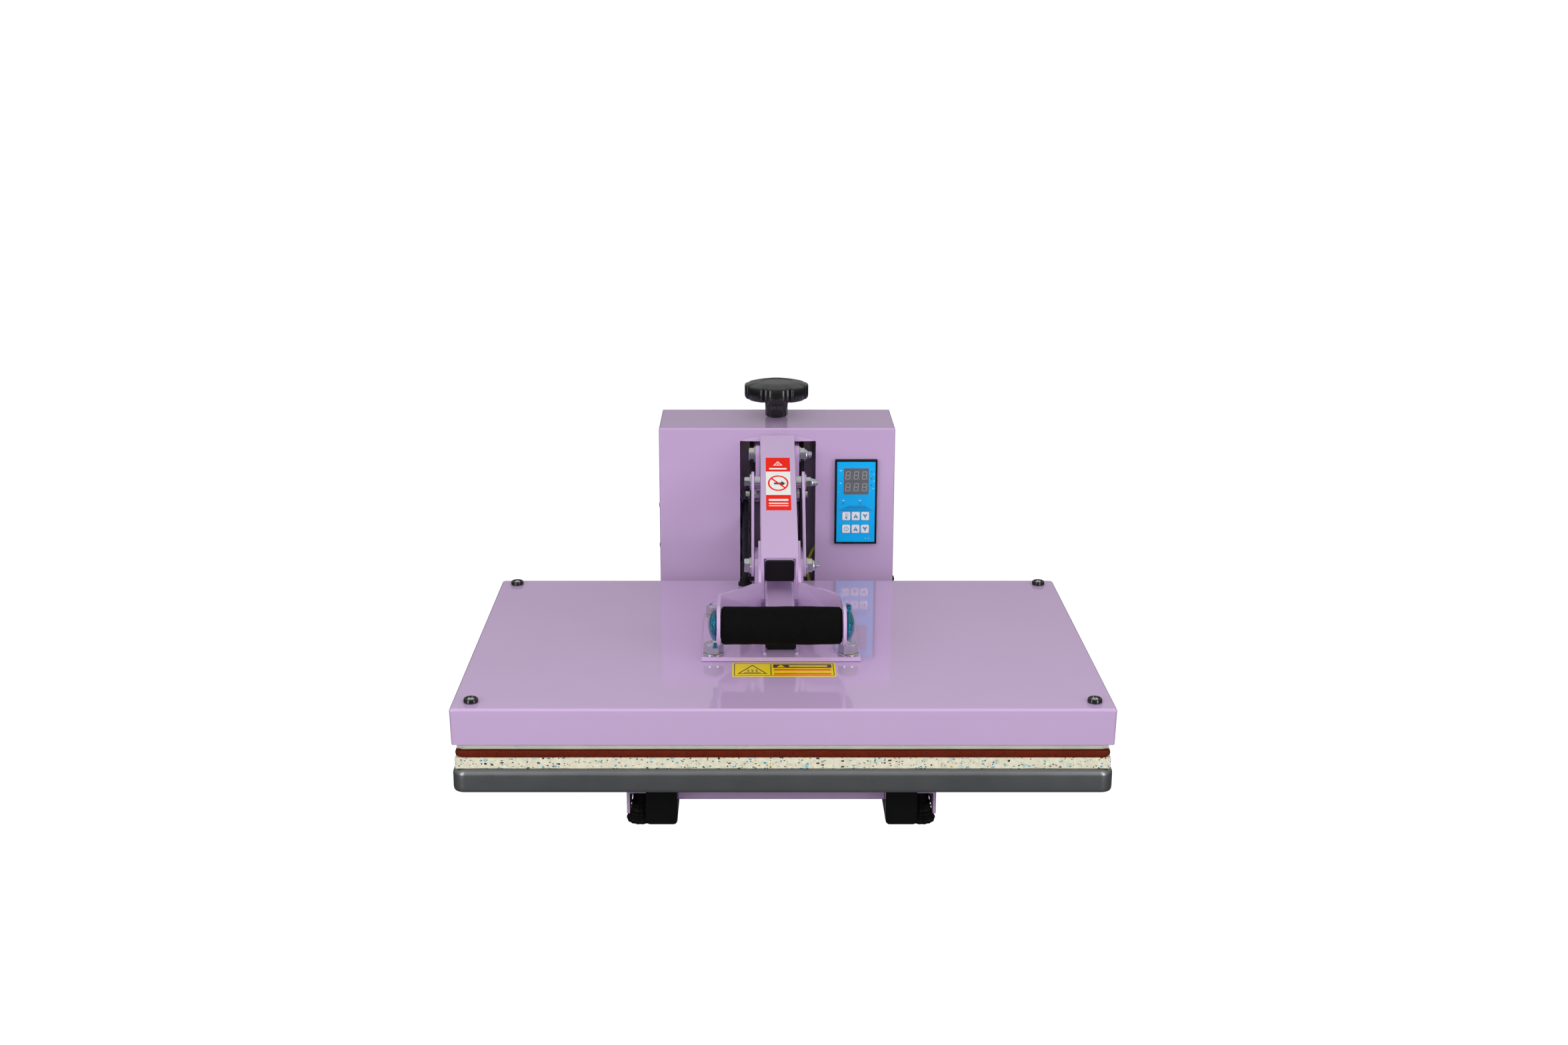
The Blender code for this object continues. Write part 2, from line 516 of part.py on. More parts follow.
def hang(name, place, pieces):
    """Parent moving pieces to an empty that sits on their joint's axis."""
    pivot = bpy.data.objects.new(name, None)
    pivot.location = Vector(place) * MM
    pivot.empty_display_size = 0.02
    PRESS.objects.link(pivot)
    bpy.context.view_layer.update()
    for piece in pieces:
        obj = bpy.data.objects[piece]
        inverse = pivot.matrix_world.inverted()
        obj.parent = pivot
        obj.matrix_parent_inverse = inverse
    return pivot


base()
lower_platen()
control_box()
controller()
posts()
arm()
handle()
linkage()
rocker()

bolt_names = ["platen_bolt_%s_%s" % (end, side) for end in ("front", "rear") for side in ("left", "right")]
hang("arm_axis", (0, *ARM_PIVOT), ["platen_cover", "heat_platen", "insulation_board", "mounting_plate", "arm_tube",
                                   "arm_tube_plug", "arm_cheek_left", "arm_cheek_right", "heater_cable"] + bolt_names)
hang("yoke_guide", (0, SCREW_Y, 279), ["pressure_yoke", "handle_pivot_bolt"])
hang("handle_axis", (0, *HANDLE_PIVOT), ["handle_channel", "handle_tube", "handle_tube_plug", "grip_tube",
                                         "foam_grip", "grip_cap_left", "grip_cap_right", "link_bolt_rear"])
hang("link_axis", (0, *LINK_REAR), ["link_left", "link_right", "link_bolt_front"])
hang("knob_axis", (0, SCREW_Y, 331), ["pressure_knob", "pressure_screw"])
hang("switch_axis", (BOX_W / 2 - 4, 235, 111), ["power_switch"])
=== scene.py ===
"""Looks for the clamshell heat press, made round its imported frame.

The frame is in metres, +Z up, -Y towards the operator. Shapes below are worked out in
millimetres in the same axes and become metres when they are made into a piece.
"""
import json
import math

import bmesh
import bpy
import numpy as np
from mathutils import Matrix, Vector


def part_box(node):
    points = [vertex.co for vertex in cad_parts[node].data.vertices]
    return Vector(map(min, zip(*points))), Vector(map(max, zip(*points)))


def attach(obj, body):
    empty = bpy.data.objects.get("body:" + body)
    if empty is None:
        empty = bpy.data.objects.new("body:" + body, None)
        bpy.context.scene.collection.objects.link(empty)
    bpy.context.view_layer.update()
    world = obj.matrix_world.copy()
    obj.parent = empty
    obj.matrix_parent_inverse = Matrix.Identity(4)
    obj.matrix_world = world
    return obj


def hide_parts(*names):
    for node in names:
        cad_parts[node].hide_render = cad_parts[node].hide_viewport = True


MM = 0.001
TAU = 2 * np.pi
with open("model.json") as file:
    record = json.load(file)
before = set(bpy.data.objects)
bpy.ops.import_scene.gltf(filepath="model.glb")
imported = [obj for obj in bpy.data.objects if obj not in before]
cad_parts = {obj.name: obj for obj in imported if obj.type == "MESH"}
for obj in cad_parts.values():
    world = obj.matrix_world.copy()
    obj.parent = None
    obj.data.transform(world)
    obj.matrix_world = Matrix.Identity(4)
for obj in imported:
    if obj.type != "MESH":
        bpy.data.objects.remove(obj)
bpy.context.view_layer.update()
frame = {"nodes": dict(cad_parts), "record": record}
SCENE = bpy.context.scene
SCENE.view_settings.view_transform = "Standard"
BODY = {node: body for body, nodes in frame["record"]["behaviour"]["bodies"].items() for node in nodes}
SIDES = (("left", -1), ("right", 1))


def corners(node):
    """Lowest and highest corner of a frame node, in millimetres."""
    low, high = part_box(node)
    return np.array(low) / MM, np.array(high) / MM


# ---------------------------------------------------------------- camera, light and floor

def make_camera():
    """The viewpoint: low, in front, slightly left of the middle, with a long lens."""
    data = bpy.data.cameras.new("view")
    data.lens = 45.54
    data.sensor_width = 36
    data.shift_x = 0.0203
    data.clip_end = 50
    camera = bpy.data.objects.new("view", data)
    camera.location = (-0.0282, -2.0011, 0.787)
    camera.rotation_euler = (math.radians(75.0), 0, 0)
    SCENE.collection.objects.link(camera)
    SCENE.camera = camera


def softbox(name, place, aim, width, height, power, mirrored=True, lights=True):
    """A rectangular lamp turned to its aim; it may be left out of the gloss, or show in the gloss only."""
    data = bpy.data.lights.new(name, "AREA")
    data.shape = "RECTANGLE"
    data.size, data.size_y = width, height
    data.energy = power
    lamp = bpy.data.objects.new(name, data)
    lamp.location = place
    lamp.rotation_euler = (Vector(aim) - Vector(place)).to_track_quat("-Z", "Y").to_euler()
    lamp.visible_glossy, lamp.visible_diffuse = mirrored, lights
    SCENE.collection.objects.link(lamp)


AMBIENT_CLIMB = (-0.05, 0.85, 0.20, 0.60)   # the room goes from dim to bright between two heights of gaze
KEY_POWER = 14.0
FRONT_POWER = 29.0
TOP_POWER = 3.5
BACK_POWER = 16.0
STRIP_POWER, STRIP_X = 4.0, 0.72


def make_room():
    """Surround that is white to the camera and a rising grey to other rays, with seven lamps.

    Two keys and a front lamp stand before the machine, one hangs over it and one stands behind it. None of
    those five shows in its gloss. Two narrow strips show in its gloss only.
    """
    world = bpy.data.worlds.new("studio")
    world.use_nodes = True
    SCENE.world = world
    tree = world.node_tree
    tree.nodes.clear()
    path = tree.nodes.new("ShaderNodeLightPath")
    blend = tree.nodes.new("ShaderNodeMixShader")
    grey = tree.nodes.new("ShaderNodeBackground")
    white = tree.nodes.new("ShaderNodeBackground")
    out = tree.nodes.new("ShaderNodeOutputWorld")
    grey.inputs["Color"].default_value = (1.0, 0.99, 0.985, 1)
    spot = tree.nodes.new("ShaderNodeTexCoord")
    split = tree.nodes.new("ShaderNodeSeparateXYZ")
    climb = tree.nodes.new("ShaderNodeMapRange")
    tree.links.new(spot.outputs["Generated"], split.inputs[0])
    tree.links.new(split.outputs["Z"], climb.inputs["Value"])
    for name, value in zip(("From Min", "From Max", "To Min", "To Max"), AMBIENT_CLIMB):
        climb.inputs[name].default_value = value
    tree.links.new(climb.outputs[0], grey.inputs["Strength"])
    white.inputs["Color"].default_value = (1, 1, 1, 1)
    white.inputs["Strength"].default_value = 1.05
    tree.links.new(path.outputs["Is Camera Ray"], blend.inputs["Fac"])
    tree.links.new(grey.outputs[0], blend.inputs[1])
    tree.links.new(white.outputs[0], blend.inputs[2])
    tree.links.new(blend.outputs[0], out.inputs["Surface"])
    softbox("key_left", (-1.7, -2.0, 1.0), (0, 0.1, 0.2), 1.0, 1.5, KEY_POWER, mirrored=False)
    softbox("key_right", (1.8, -1.9, 1.0), (0, 0.1, 0.2), 1.0, 1.5, KEY_POWER * 1.15, mirrored=False)
    softbox("front", (-0.2, -2.6, 1.15), (0, 0.2, 0.25), 2.4, 0.9, FRONT_POWER, mirrored=False)
    for x in (-STRIP_X, STRIP_X):
        softbox("strip", (x, -0.9, 0.35), (0, 0.1, 0.3), 0.22, 1.0, STRIP_POWER, lights=False)
    softbox("back", (0.5, 2.6, 1.0), (0, 0.2, 0.2), 1.8, 1.2, BACK_POWER, mirrored=False)
    softbox("overhead", (0, -1.1, 1.4), (0, 0.2, 0.25), 1.4, 0.7, TOP_POWER, mirrored=False)


def make_floor(finish):
    """A wide disc at bench level."""
    angle = np.linspace(0, TAU, 96, endpoint=False)
    radius = np.linspace(9.0, 0.3, 12)
    ring_x = radius[:, None] * np.cos(angle)
    ring_y = radius[:, None] * np.sin(angle)
    points = np.stack([ring_x, ring_y, np.full_like(ring_x, -0.0003)], axis=-1)
    mesh = bpy.data.meshes.new("studio_floor")
    mesh.from_pydata(points.reshape(-1, 3).tolist(), [], grid_faces(12, 96, True, False, True))
    mesh.materials.append(finish)
    floor = bpy.data.objects.new("studio_floor", mesh)
    SCENE.collection.objects.link(floor)


# ---------------------------------------------------------------- shells: points in mm and faces

AXES = {
    "Z": np.eye(3),
    "X": np.array([[0, 0, 1], [0, 1, 0], [-1, 0, 0]], float),
    "-X": np.array([[0, 0, -1], [0, 1, 0], [1, 0, 0]], float),
    "-Y": np.array([[1, 0, 0], [0, 0, -1], [0, 1, 0]], float),
    "Y": np.array([[-1, 0, 0], [0, 0, 1], [0, 1, 0]], float),
    "side": np.array([[0, 0, 1], [1, 0, 0], [0, 1, 0]], float),
}


def moved(shell, centre=(0, 0, 0), axis="Z", tilt=0.0):
    """A shell turned from +Z to an axis, leaned about X by tilt, and set on a centre."""
    points, faces = shell
    c, s = math.cos(tilt), math.sin(tilt)
    lean = np.array([[1, 0, 0], [0, c, -s], [0, s, c]])
    return np.asarray(points, float).reshape(-1, 3) @ (lean @ AXES[axis]).T + np.asarray(centre, float), faces


def grid_faces(rows, columns, closed=True, cap_low=True, cap_high=True):
    """Quads over rows by columns, columns joined round when closed, each end row filled by one face."""
    index = np.arange(rows * columns).reshape(rows, columns)
    ahead = np.roll(index, -1, axis=1) if closed else index[:, 1:]
    here = index if closed else index[:, :-1]
    faces = np.stack([here[:-1], ahead[:-1], ahead[1:], here[1:]], axis=-1).reshape(-1, 4).tolist()
    if cap_low:
        faces.append(index[0][::-1].tolist())
    if cap_high:
        faces.append(index[-1].tolist())
    return faces


def spun(profile, steps=48, radial=None):
    """A turned shape: each (radius, height) of the profile carried round Z.

    radial(angle, height) multiplies the radius, for lobes, ribs and creases.
    """
    profile = np.asarray(profile, float)
    angle = np.linspace(0, TAU, steps, endpoint=False)[None, :]
    radius = np.repeat(profile[:, :1], steps, axis=1)
    height = np.repeat(profile[:, 1:], steps, axis=1)
    if radial is not None:
        radius = radius * radial(angle, height)
    points = np.stack([radius * np.cos(angle), radius * np.sin(angle), height], axis=-1)
    return points, grid_faces(len(profile), steps)


def arc(centre, radius, start, stop, count):
    """Points along a circle's arc, angles in degrees."""
    a = np.radians(np.linspace(start, stop, count))
    return np.stack([centre[0] + radius * np.cos(a), centre[1] + radius * np.sin(a)], axis=-1)


def ring(half_x, half_y, radius, per_corner=8, per_side=1):
    """A rectangle with quarter-circle corners, in order round it; per_side adds points along each side."""
    radius = max(radius, 1e-4)
    parts = []
    spots = [(1, -1, -90), (1, 1, 0), (-1, 1, 90), (-1, -1, 180)]
    for i, (sx, sy, start) in enumerate(spots):
        here = arc((sx * (half_x - radius), sy * (half_y - radius)), radius, start, start + 90, per_corner)
        nx, ny, nstart = spots[(i + 1) % 4]
        there = arc((nx * (half_x - radius), ny * (half_y - radius)), radius, nstart, nstart + 90, per_corner)
        parts.append(here)
        share = np.linspace(0, 1, per_side + 1)[1:-1, None]
        parts.append(here[-1] + share * (there[0] - here[-1]))
    return np.concatenate(parts)


def eased(half_x, half_y, corner, low, high, ease_low, ease_high, steps=5):
    """Sections (half_x, half_y, corner, level) of a block whose rims roll over on quarter circles."""
    turn = np.linspace(0, np.pi / 2, steps)
    up = [(ease_low * (1 - math.sin(t)), low + ease_low * (1 - math.cos(t))) for t in turn]
    over = [(ease_high * (1 - math.sin(t)), high - ease_high * (1 - math.cos(t))) for t in turn[::-1]]
    return [(half_x - d, half_y - d, corner - d, level) for d, level in up + over]


def stacked(sections, per_corner=8, per_side=1, cap_low=True, cap_high=True):
    """A skin through round-cornered rectangles (half_x, half_y, corner, level), one above another."""
    rows = []
    for half_x, half_y, corner, level in sections:
        flat = ring(half_x, half_y, corner, per_corner, per_side)
        rows.append(np.column_stack([flat, np.full(len(flat), level)]))
    points = np.array(rows)
    return points, grid_faces(len(rows), points.shape[1], True, cap_low, cap_high)


def prism(outline, low, high):
    """A flat outline given thickness between two levels."""
    outline = np.asarray(outline, float)
    rows = [np.column_stack([outline, np.full(len(outline), level)]) for level in (low, high)]
    return np.array(rows), grid_faces(2, len(outline))


def band(outer, inner, low, high):
    """The flat area between two outlines with the same count of points, given thickness."""
    rows = [np.column_stack([np.asarray(line, float), np.full(len(line), level)])
            for line, level in ((outer, low), (outer, high), (inner, high), (inner, low), (outer, low))]
    return np.array(rows), grid_faces(5, len(outer), True, False, False)


def bar(x0, y0, x1, y1, low, high):
    """A flat rectangle between two corners, from one level to another."""
    return prism([(x0, y0), (x1, y0), (x1, y1), (x0, y1)], low, high)


def hexagon(flats, low, high, dish=0.5, steps=72):
    """A bolt head: six flat sides, corners cut back on top by a 30 degree cone, shallow dished face."""
    angle = np.linspace(0, TAU, steps, endpoint=False)
    half = flats / 2
    side = half / np.cos(angle % (np.pi / 3) - np.pi / 6)
    cut = high - (side - half * 0.96) * math.tan(math.radians(30))
    one = np.ones_like(angle)
    rows = [(side - 0.25, low * one), (side, (low + 0.25) * one), (side, cut),
            (half * 0.96 * one, high * one),
            (half * 0.80 * one, high * one), (half * 0.72 * one, (high - dish) * one),
            (half * 0.3 * one, (high - dish * 1.1) * one)]
    points = np.array([np.column_stack([r * np.cos(angle), r * np.sin(angle), z]) for r, z in rows])
    return points, grid_faces(len(rows), steps)


def thread(radius, low, high, pitch=1.25, depth=0.5, steps=24):
    """A threaded rod: radius falls and rises once per pitch, shifted one pitch per turn, top end tapered."""
    height = np.arange(low, high + 1e-6, pitch / 5)[:, None]
    angle = np.linspace(0, TAU, steps, endpoint=False)[None, :]
    wave = np.abs(((height / pitch - angle / TAU) % 1) * 2 - 1)
    taper = np.clip((high - height) / 0.9, 0.72, 1)
    r = (radius - depth * wave) * taper
    points = np.stack([r * np.cos(angle), r * np.sin(angle), np.broadcast_to(height, r.shape)], axis=-1)
    return points, grid_faces(len(height), steps)


def lock_nut(flats, shank, low, high):
    """A hexagon nut whose top is a rounded collar round the thread."""
    half = flats / 2
    shoulder = low + (high - low) * 0.68
    collar = [(half * 0.95, shoulder - 0.6), (half * 0.95, shoulder), (half * 0.86, shoulder + 0.5),
              (half * 0.84, high - 0.9), (half * 0.76, high - 0.2),
              (half * 0.68, high), (shank + 0.2, high - 0.2),
              (shank + 0.1, high - 1.2)]
    return [hexagon(flats, low, shoulder), spun(collar, 48), thread(shank, high - 2, high + 5)]


def cross_head(radius, low, height, reach=0.62, slot=0.17, steps=64, rows=16):
    """A domed screw head with a cross-shaped recess: the dome drops wherever a point lies on an arm."""
    angle = np.linspace(0, TAU, steps, endpoint=False)[None, :]
    share = np.linspace(1, 0.04, rows)[:, None]
    x, y = share * np.cos(angle), share * np.sin(angle)
    top = low + height * (0.45 + 0.55 * np.sqrt(np.clip(1 - share ** 2, 0, 1))) + 0 * angle
    near = np.minimum(np.abs(x), np.abs(y))
    arm = np.clip((slot - near) / 0.05, 0, 1) * np.clip((reach - share) / 0.06, 0, 1)
    top = top - arm * height * 0.55
    base = np.stack([radius * np.cos(angle[0]), radius * np.sin(angle[0]), np.full(steps, low)], axis=-1)
    points = np.concatenate([base[None], np.stack([radius * x, radius * y, top], axis=-1)])
    return points, grid_faces(rows + 1, steps)


def smooth_path(points, count=60):
    """A Catmull-Rom curve through points: each stretch is a cubic with its neighbours' chord slopes."""
    p = np.asarray(points, float)
    p = np.vstack([2 * p[0] - p[1], p, 2 * p[-1] - p[-2]])
    t = np.linspace(0, len(p) - 3 - 1e-9, count)
    i = t.astype(int)
    f = (t - i)[:, None]
    a, b, c, d = p[i], p[i + 1], p[i + 2], p[i + 3]
    return 0.5 * (2 * b + (c - a) * f + (2 * a - 5 * b + 4 * c - d) * f ** 2
                  + (3 * b - a - 3 * c + d) * f ** 3)


def tube(path, radius, sides=14, weave=None):
    """A round section carried square to a path; weave(angle, distance) multiplies its radius."""
    along = np.gradient(path, axis=0)
    along /= np.linalg.norm(along, axis=1, keepdims=True)
    side = np.cross(along, np.array([0.31, 0.17, 0.93]))
    side /= np.linalg.norm(side, axis=1, keepdims=True)
    up = np.cross(side, along)
    angle = np.linspace(0, TAU, sides, endpoint=False)[None, :, None]
    reach = np.full((len(path), sides, 1), float(radius))
    if weave is not None:
        walked = np.concatenate([[0], np.cumsum(np.linalg.norm(np.diff(path, axis=0), axis=1))])
        reach = reach * weave(angle, walked[:, None, None])
    points = path[:, None] + reach * (side[:, None] * np.cos(angle) + up[:, None] * np.sin(angle))
    return points, grid_faces(len(path), sides)


def curled_strip(width, length, turn, thickness=0.15, steps=14):
    """A strip of film, flat at its root and rolling up on an arc towards its tip."""
    t = np.linspace(0, 1, steps)
    bend = turn * t
    run = np.where(turn, length * np.sin(bend) / max(turn, 1e-6), length * t)
    rise = length * (1 - np.cos(bend)) / max(turn, 1e-6)
    rows = []
    for u, off in ((0, 0), (width, 0), (width, thickness), (0, thickness)):
        rows.append(np.column_stack([np.full(steps, u), run - off * np.sin(bend), rise + off * np.cos(bend)]))
    points = np.array(rows).transpose(1, 0, 2)
    return points, grid_faces(steps, 4)


# ---------------------------------------------------------------- from shells to pieces

def piece(name, shells, body, finish, replaces=(), sharp=32, flats=True, weld=0.002):
    """One piece from shells in millimetres: welded, facing outwards, in metres, riding on its body."""
    points, faces, start = [], [], 0
    for shell_points, shell_faces in shells:
        shell_points = np.asarray(shell_points, float).reshape(-1, 3)
        points.append(shell_points)
        faces += [[i + start for i in face] for face in shell_faces]
        start += len(shell_points)
    mesh = bpy.data.meshes.new(name)
    mesh.from_pydata((np.concatenate(points) * MM).tolist(), [], faces)
    bm = bmesh.new()
    bm.from_mesh(mesh)
    bmesh.ops.remove_doubles(bm, verts=bm.verts, dist=weld * MM)
    bmesh.ops.recalc_face_normals(bm, faces=bm.faces)
    bm.to_mesh(mesh)
    bm.free()
    return settle(name, mesh, body, finish, replaces, sharp, flats)


def settle(name, mesh, body, finish, replaces=(), sharp=32, flats=True):
    """Give a mesh its finish and shading and make it a piece that rides on a body."""
    mesh.materials.clear()
    mesh.materials.append(finish)
    mesh.shade_smooth()
    mesh.set_sharp_from_angle(angle=math.radians(sharp))
    obj = bpy.data.objects.new(name, mesh)
    SCENE.collection.objects.link(obj)
    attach(obj, body)
    if replaces:
        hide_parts(*replaces)
    if flats:
        weighted = obj.modifiers.new("flat_faces", "WEIGHTED_NORMAL")
        weighted.keep_sharp = True
    return obj


def rounded_copy(node, finish, width=0.5, segments=2, sharp=35):
    """A frame node made again with its triangles merged to flat faces and its edges rounded."""
    bm = bmesh.new()
    bm.from_mesh(frame["nodes"][node].data)
    bmesh.ops.remove_doubles(bm, verts=bm.verts, dist=1e-5)
    bmesh.ops.dissolve_limit(bm, angle_limit=math.radians(1.0), verts=bm.verts, edges=bm.edges)
    mesh = bpy.data.meshes.new(node + "_finished")
    bm.to_mesh(mesh)
    bm.free()
    obj = settle(node + "_finished", mesh, BODY[node], finish, (node,), sharp, False)
    bevel = obj.modifiers.new("edges", "BEVEL")
    bevel.width = width * MM
    bevel.segments = segments
    bevel.limit_method = "ANGLE"
    bevel.angle_limit = math.radians(sharp)
    weighted = obj.modifiers.new("flat_faces", "WEIGHTED_NORMAL")
    weighted.keep_sharp = False
    return obj


def carved(obj, cutters):
    """Cut shells out of a piece for good."""
    tools = []
    for i, shell in enumerate(cutters):
        mesh = bpy.data.meshes.new("%s_cut_%d" % (obj.name, i))
        points = np.asarray(shell[0], float).reshape(-1, 3) * MM
        mesh.from_pydata(points.tolist(), [], shell[1])
        bm = bmesh.new()
        bm.from_mesh(mesh)
        bmesh.ops.recalc_face_normals(bm, faces=bm.faces)
        bm.to_mesh(mesh)
        bm.free()
        tool = bpy.data.objects.new(mesh.name, mesh)
        SCENE.collection.objects.link(tool)
        tools.append(tool)
        cut = obj.modifiers.new("cut", "BOOLEAN")
        cut.operation, cut.solver, cut.object = "DIFFERENCE", "EXACT", tool
    weighted = [m for m in obj.modifiers if m.type == "WEIGHTED_NORMAL"]
    for m in weighted:
        obj.modifiers.remove(m)
    done = bpy.data.meshes.new_from_object(obj.evaluated_get(bpy.context.evaluated_depsgraph_get()))
    obj.modifiers.clear()
    obj.data = done
    for tool in tools:
        bpy.data.objects.remove(tool)
    done.set_sharp_from_angle(angle=math.radians(32))
    weighted = obj.modifiers.new("flat_faces", "WEIGHTED_NORMAL")
    weighted.keep_sharp = True
    return obj


# ---------------------------------------------------------------- shader wiring

class Wires:
    """Short calls for wiring a shader tree; a value may be a number, a tuple or another node's output."""

    def __init__(self, tree):
        self.tree = tree
        self.spot = None

    def node(self, kind, settings=None, **inputs):
        """A new node with its settings and inputs; an underscore in an input name stands for a space."""
        made = self.tree.nodes.new("ShaderNode" + kind)
        for key, value in (settings or {}).items():
            setattr(made, key, value)
        for key, value in inputs.items():
            self.feed(made.inputs[key.replace("_", " ")], value)
        return made

    def feed(self, socket, value):
        """Link another output to a socket, or set its value."""
        if isinstance(value, bpy.types.NodeSocket):
            self.tree.links.new(value, socket)
        else:
            socket.default_value = value

    def where(self, stretch=(1, 1, 1)):
        """Object coordinates, scaled along each axis."""
        spot = self.node("TexCoord").outputs["Object"]
        return self.node("Mapping", Vector=spot, Scale=stretch).outputs[0]

    def noise(self, scale, detail=2.0, rough=0.5, stretch=(1, 1, 1), distort=0.0):
        """Smooth noise, 0 to 1."""
        return self.node("TexNoise", Vector=self.where(stretch), Scale=scale, Detail=detail, Roughness=rough,
                         Distortion=distort).outputs["Fac"]

    def cells(self, scale, feature="F1", stretch=(1, 1, 1), vector=None):
        """Cell noise: distance to the nearest point, and a colour for each cell."""
        vector = self.where(stretch) if vector is None else vector
        return self.node("TexVoronoi", {"feature": feature}, Vector=vector, Scale=scale).outputs

    def span(self, value, low, high, to_low=0.0, to_high=1.0):
        """Stretch a range of values to another."""
        made = self.node("MapRange", Value=value)
        for key, number in (("From Min", low), ("From Max", high), ("To Min", to_low), ("To Max", to_high)):
            self.feed(made.inputs[key], number)
        return made.outputs[0]

    def sums(self, operation, a, b=0.0):
        """One step of arithmetic."""
        made = self.node("Math", {"operation": operation})
        self.feed(made.inputs[0], a)
        self.feed(made.inputs[1], b)
        return made.outputs[0]

    def blend(self, share, a, b):
        """Colour a at share 0, colour b at share 1."""
        made = self.node("Mix", {"data_type": "RGBA"})
        self.feed(made.inputs[0], share)
        self.feed(made.inputs[6], a)
        self.feed(made.inputs[7], b)
        return made.outputs[2]

    def bump(self, height, distance, strength=1.0, normal=None):
        """A surface normal from a height."""
        made = self.node("Bump", Height=height, Distance=distance, Strength=strength)
        if normal is not None:
            self.feed(made.inputs["Normal"], normal)
        return made.outputs[0]

    def use(self, group, **inputs):
        """Place one of the shared groups."""
        made = self.tree.nodes.new("ShaderNodeGroup")
        made.node_tree = group
        for key, value in inputs.items():
            self.feed(made.inputs[key.replace("_", " ")], value)
        return made.outputs


def effect(name, inputs, outputs, wire):
    """A shader node group with named sockets, wired once by wire(wires, its inputs) -> its outputs."""
    group = bpy.data.node_groups.new(name, "ShaderNodeTree")
    for label, kind, value in inputs:
        made = group.interface.new_socket(label, in_out="INPUT", socket_type="NodeSocket" + kind)
        made.default_value = value
    for label, kind in outputs:
        group.interface.new_socket(label, in_out="OUTPUT", socket_type="NodeSocket" + kind)
    wires = Wires(group)
    entry, leave = group.nodes.new("NodeGroupInput"), group.nodes.new("NodeGroupOutput")
    for label, value in wire(wires, entry.outputs).items():
        wires.feed(leave.inputs[label], value)
    return group


def wire_drift(w, into):
    """Slow change of tone: a colour's value follows soft noise by a share, and a mask repeats the noise."""
    soft = w.noise(into["Scale"], 3.0)
    low = w.sums("SUBTRACT", 1.0, into["Amount"])
    high = w.sums("ADD", 1.0, into["Amount"])
    value = w.span(soft, 0.3, 0.7, low, high)
    shade = w.node("HueSaturation", Value=value, Color=into["Colour"]).outputs[0]
    return {"Colour": shade, "Mask": soft}


def wire_spread(w, into):
    """A number that wanders between two ends with the size of the noise."""
    return {"Value": w.span(w.noise(into["Scale"], 4.0), 0.3, 0.7, into["Low"], into["High"])}


def wire_grain(w, into):
    """Fine raised grain: noise as height."""
    return {"Normal": w.bump(w.noise(into["Scale"], 3.0, 0.6), into["Depth"])}


def wire_flecks(w, into):
    """Ragged scraps: warped cells, kept where the cell's own random number is under a share."""
    warp = w.node("TexNoise", Vector=w.where(), Scale=w.sums("MULTIPLY", into["Scale"], 2.2),
                  Detail=3.0).outputs["Color"]
    push = w.node("VectorMath", {"operation": "SCALE"}, Scale=w.sums("DIVIDE", 0.9, into["Scale"]))
    w.feed(push.inputs[0], warp)
    shift = w.node("VectorMath", {"operation": "ADD"})
    w.feed(shift.inputs[0], w.where((1.0, 1.0, 1.7)))
    w.feed(shift.inputs[1], push.outputs[0])
    cell = w.cells(into["Scale"], vector=shift.outputs[0])
    lot = w.node("SeparateColor", Color=cell["Color"]).outputs
    inside = w.span(cell["Distance"], into["Size"], w.sums("SUBTRACT", into["Size"], 0.08), 0.0, 1.0)
    keep = w.sums("LESS_THAN", lot[0], into["Share"])
    return {"Mask": w.sums("MULTIPLY", inside, keep), "Lot": lot[1]}


def wire_pores(w, into):
    """Open pores: round pits where cells are small, as a mask and a dented normal; the mask also says where
    painted shade darkens the pits.
    """
    cell = w.cells(into["Scale"])
    pit = w.span(cell["Distance"], 0.12, 0.42, 1.0, 0.0)
    lot = w.node("SeparateColor", Color=cell["Color"]).outputs[0]
    pit = w.sums("MULTIPLY", pit, w.span(lot, 0.3, 0.6))
    height = w.sums("SUBTRACT", w.sums("MULTIPLY", w.noise(w.sums("MULTIPLY", into["Scale"], 0.6), 4.0), 0.7),
                    pit)
    return {"Mask": pit, "Normal": w.bump(height, into["Depth"])}


def wire_creases(w, into):
    """Stretched film: ridged noise, thin bright folds, as height."""
    wave = w.noise(into["Scale"], 3.0, 0.55, (1, 1, 0.45), 1.2)
    fold = w.sums("ABSOLUTE", w.sums("SUBTRACT", wave, 0.5))
    return {"Normal": w.bump(w.span(fold, 0.0, 0.16, 1.0, 0.0), into["Depth"]), "Mask": fold}


GROUPS = {
    "drift": effect("tone_drift", [("Colour", "Color", (0.5, 0.5, 0.5, 1)), ("Scale", "Float", 20.0),
                                   ("Amount", "Float", 0.05)],
                    [("Colour", "Color"), ("Mask", "Float")], wire_drift),
    "spread": effect("gloss_spread", [("Scale", "Float", 30.0), ("Low", "Float", 0.2),
                                      ("High", "Float", 0.3)],
                     [("Value", "Float")], wire_spread),
    "grain": effect("fine_grain", [("Scale", "Float", 900.0), ("Depth", "Float", 0.00003)],
                    [("Normal", "Vector")], wire_grain),
    "flecks": effect("scrap_flecks", [("Scale", "Float", 200.0), ("Share", "Float", 0.2),
                                      ("Size", "Float", 0.4)],
                     [("Mask", "Float"), ("Lot", "Float")], wire_flecks),
    "pores": effect("open_pores", [("Scale", "Float", 900.0), ("Depth", "Float", 0.0002)],
                    [("Mask", "Float"), ("Normal", "Vector")], wire_pores),
    "creases": effect("film_creases", [("Scale", "Float", 90.0), ("Depth", "Float", 0.0004)],
                      [("Normal", "Vector"), ("Mask", "Float")], wire_creases),
}


# ---------------------------------------------------------------- finishes

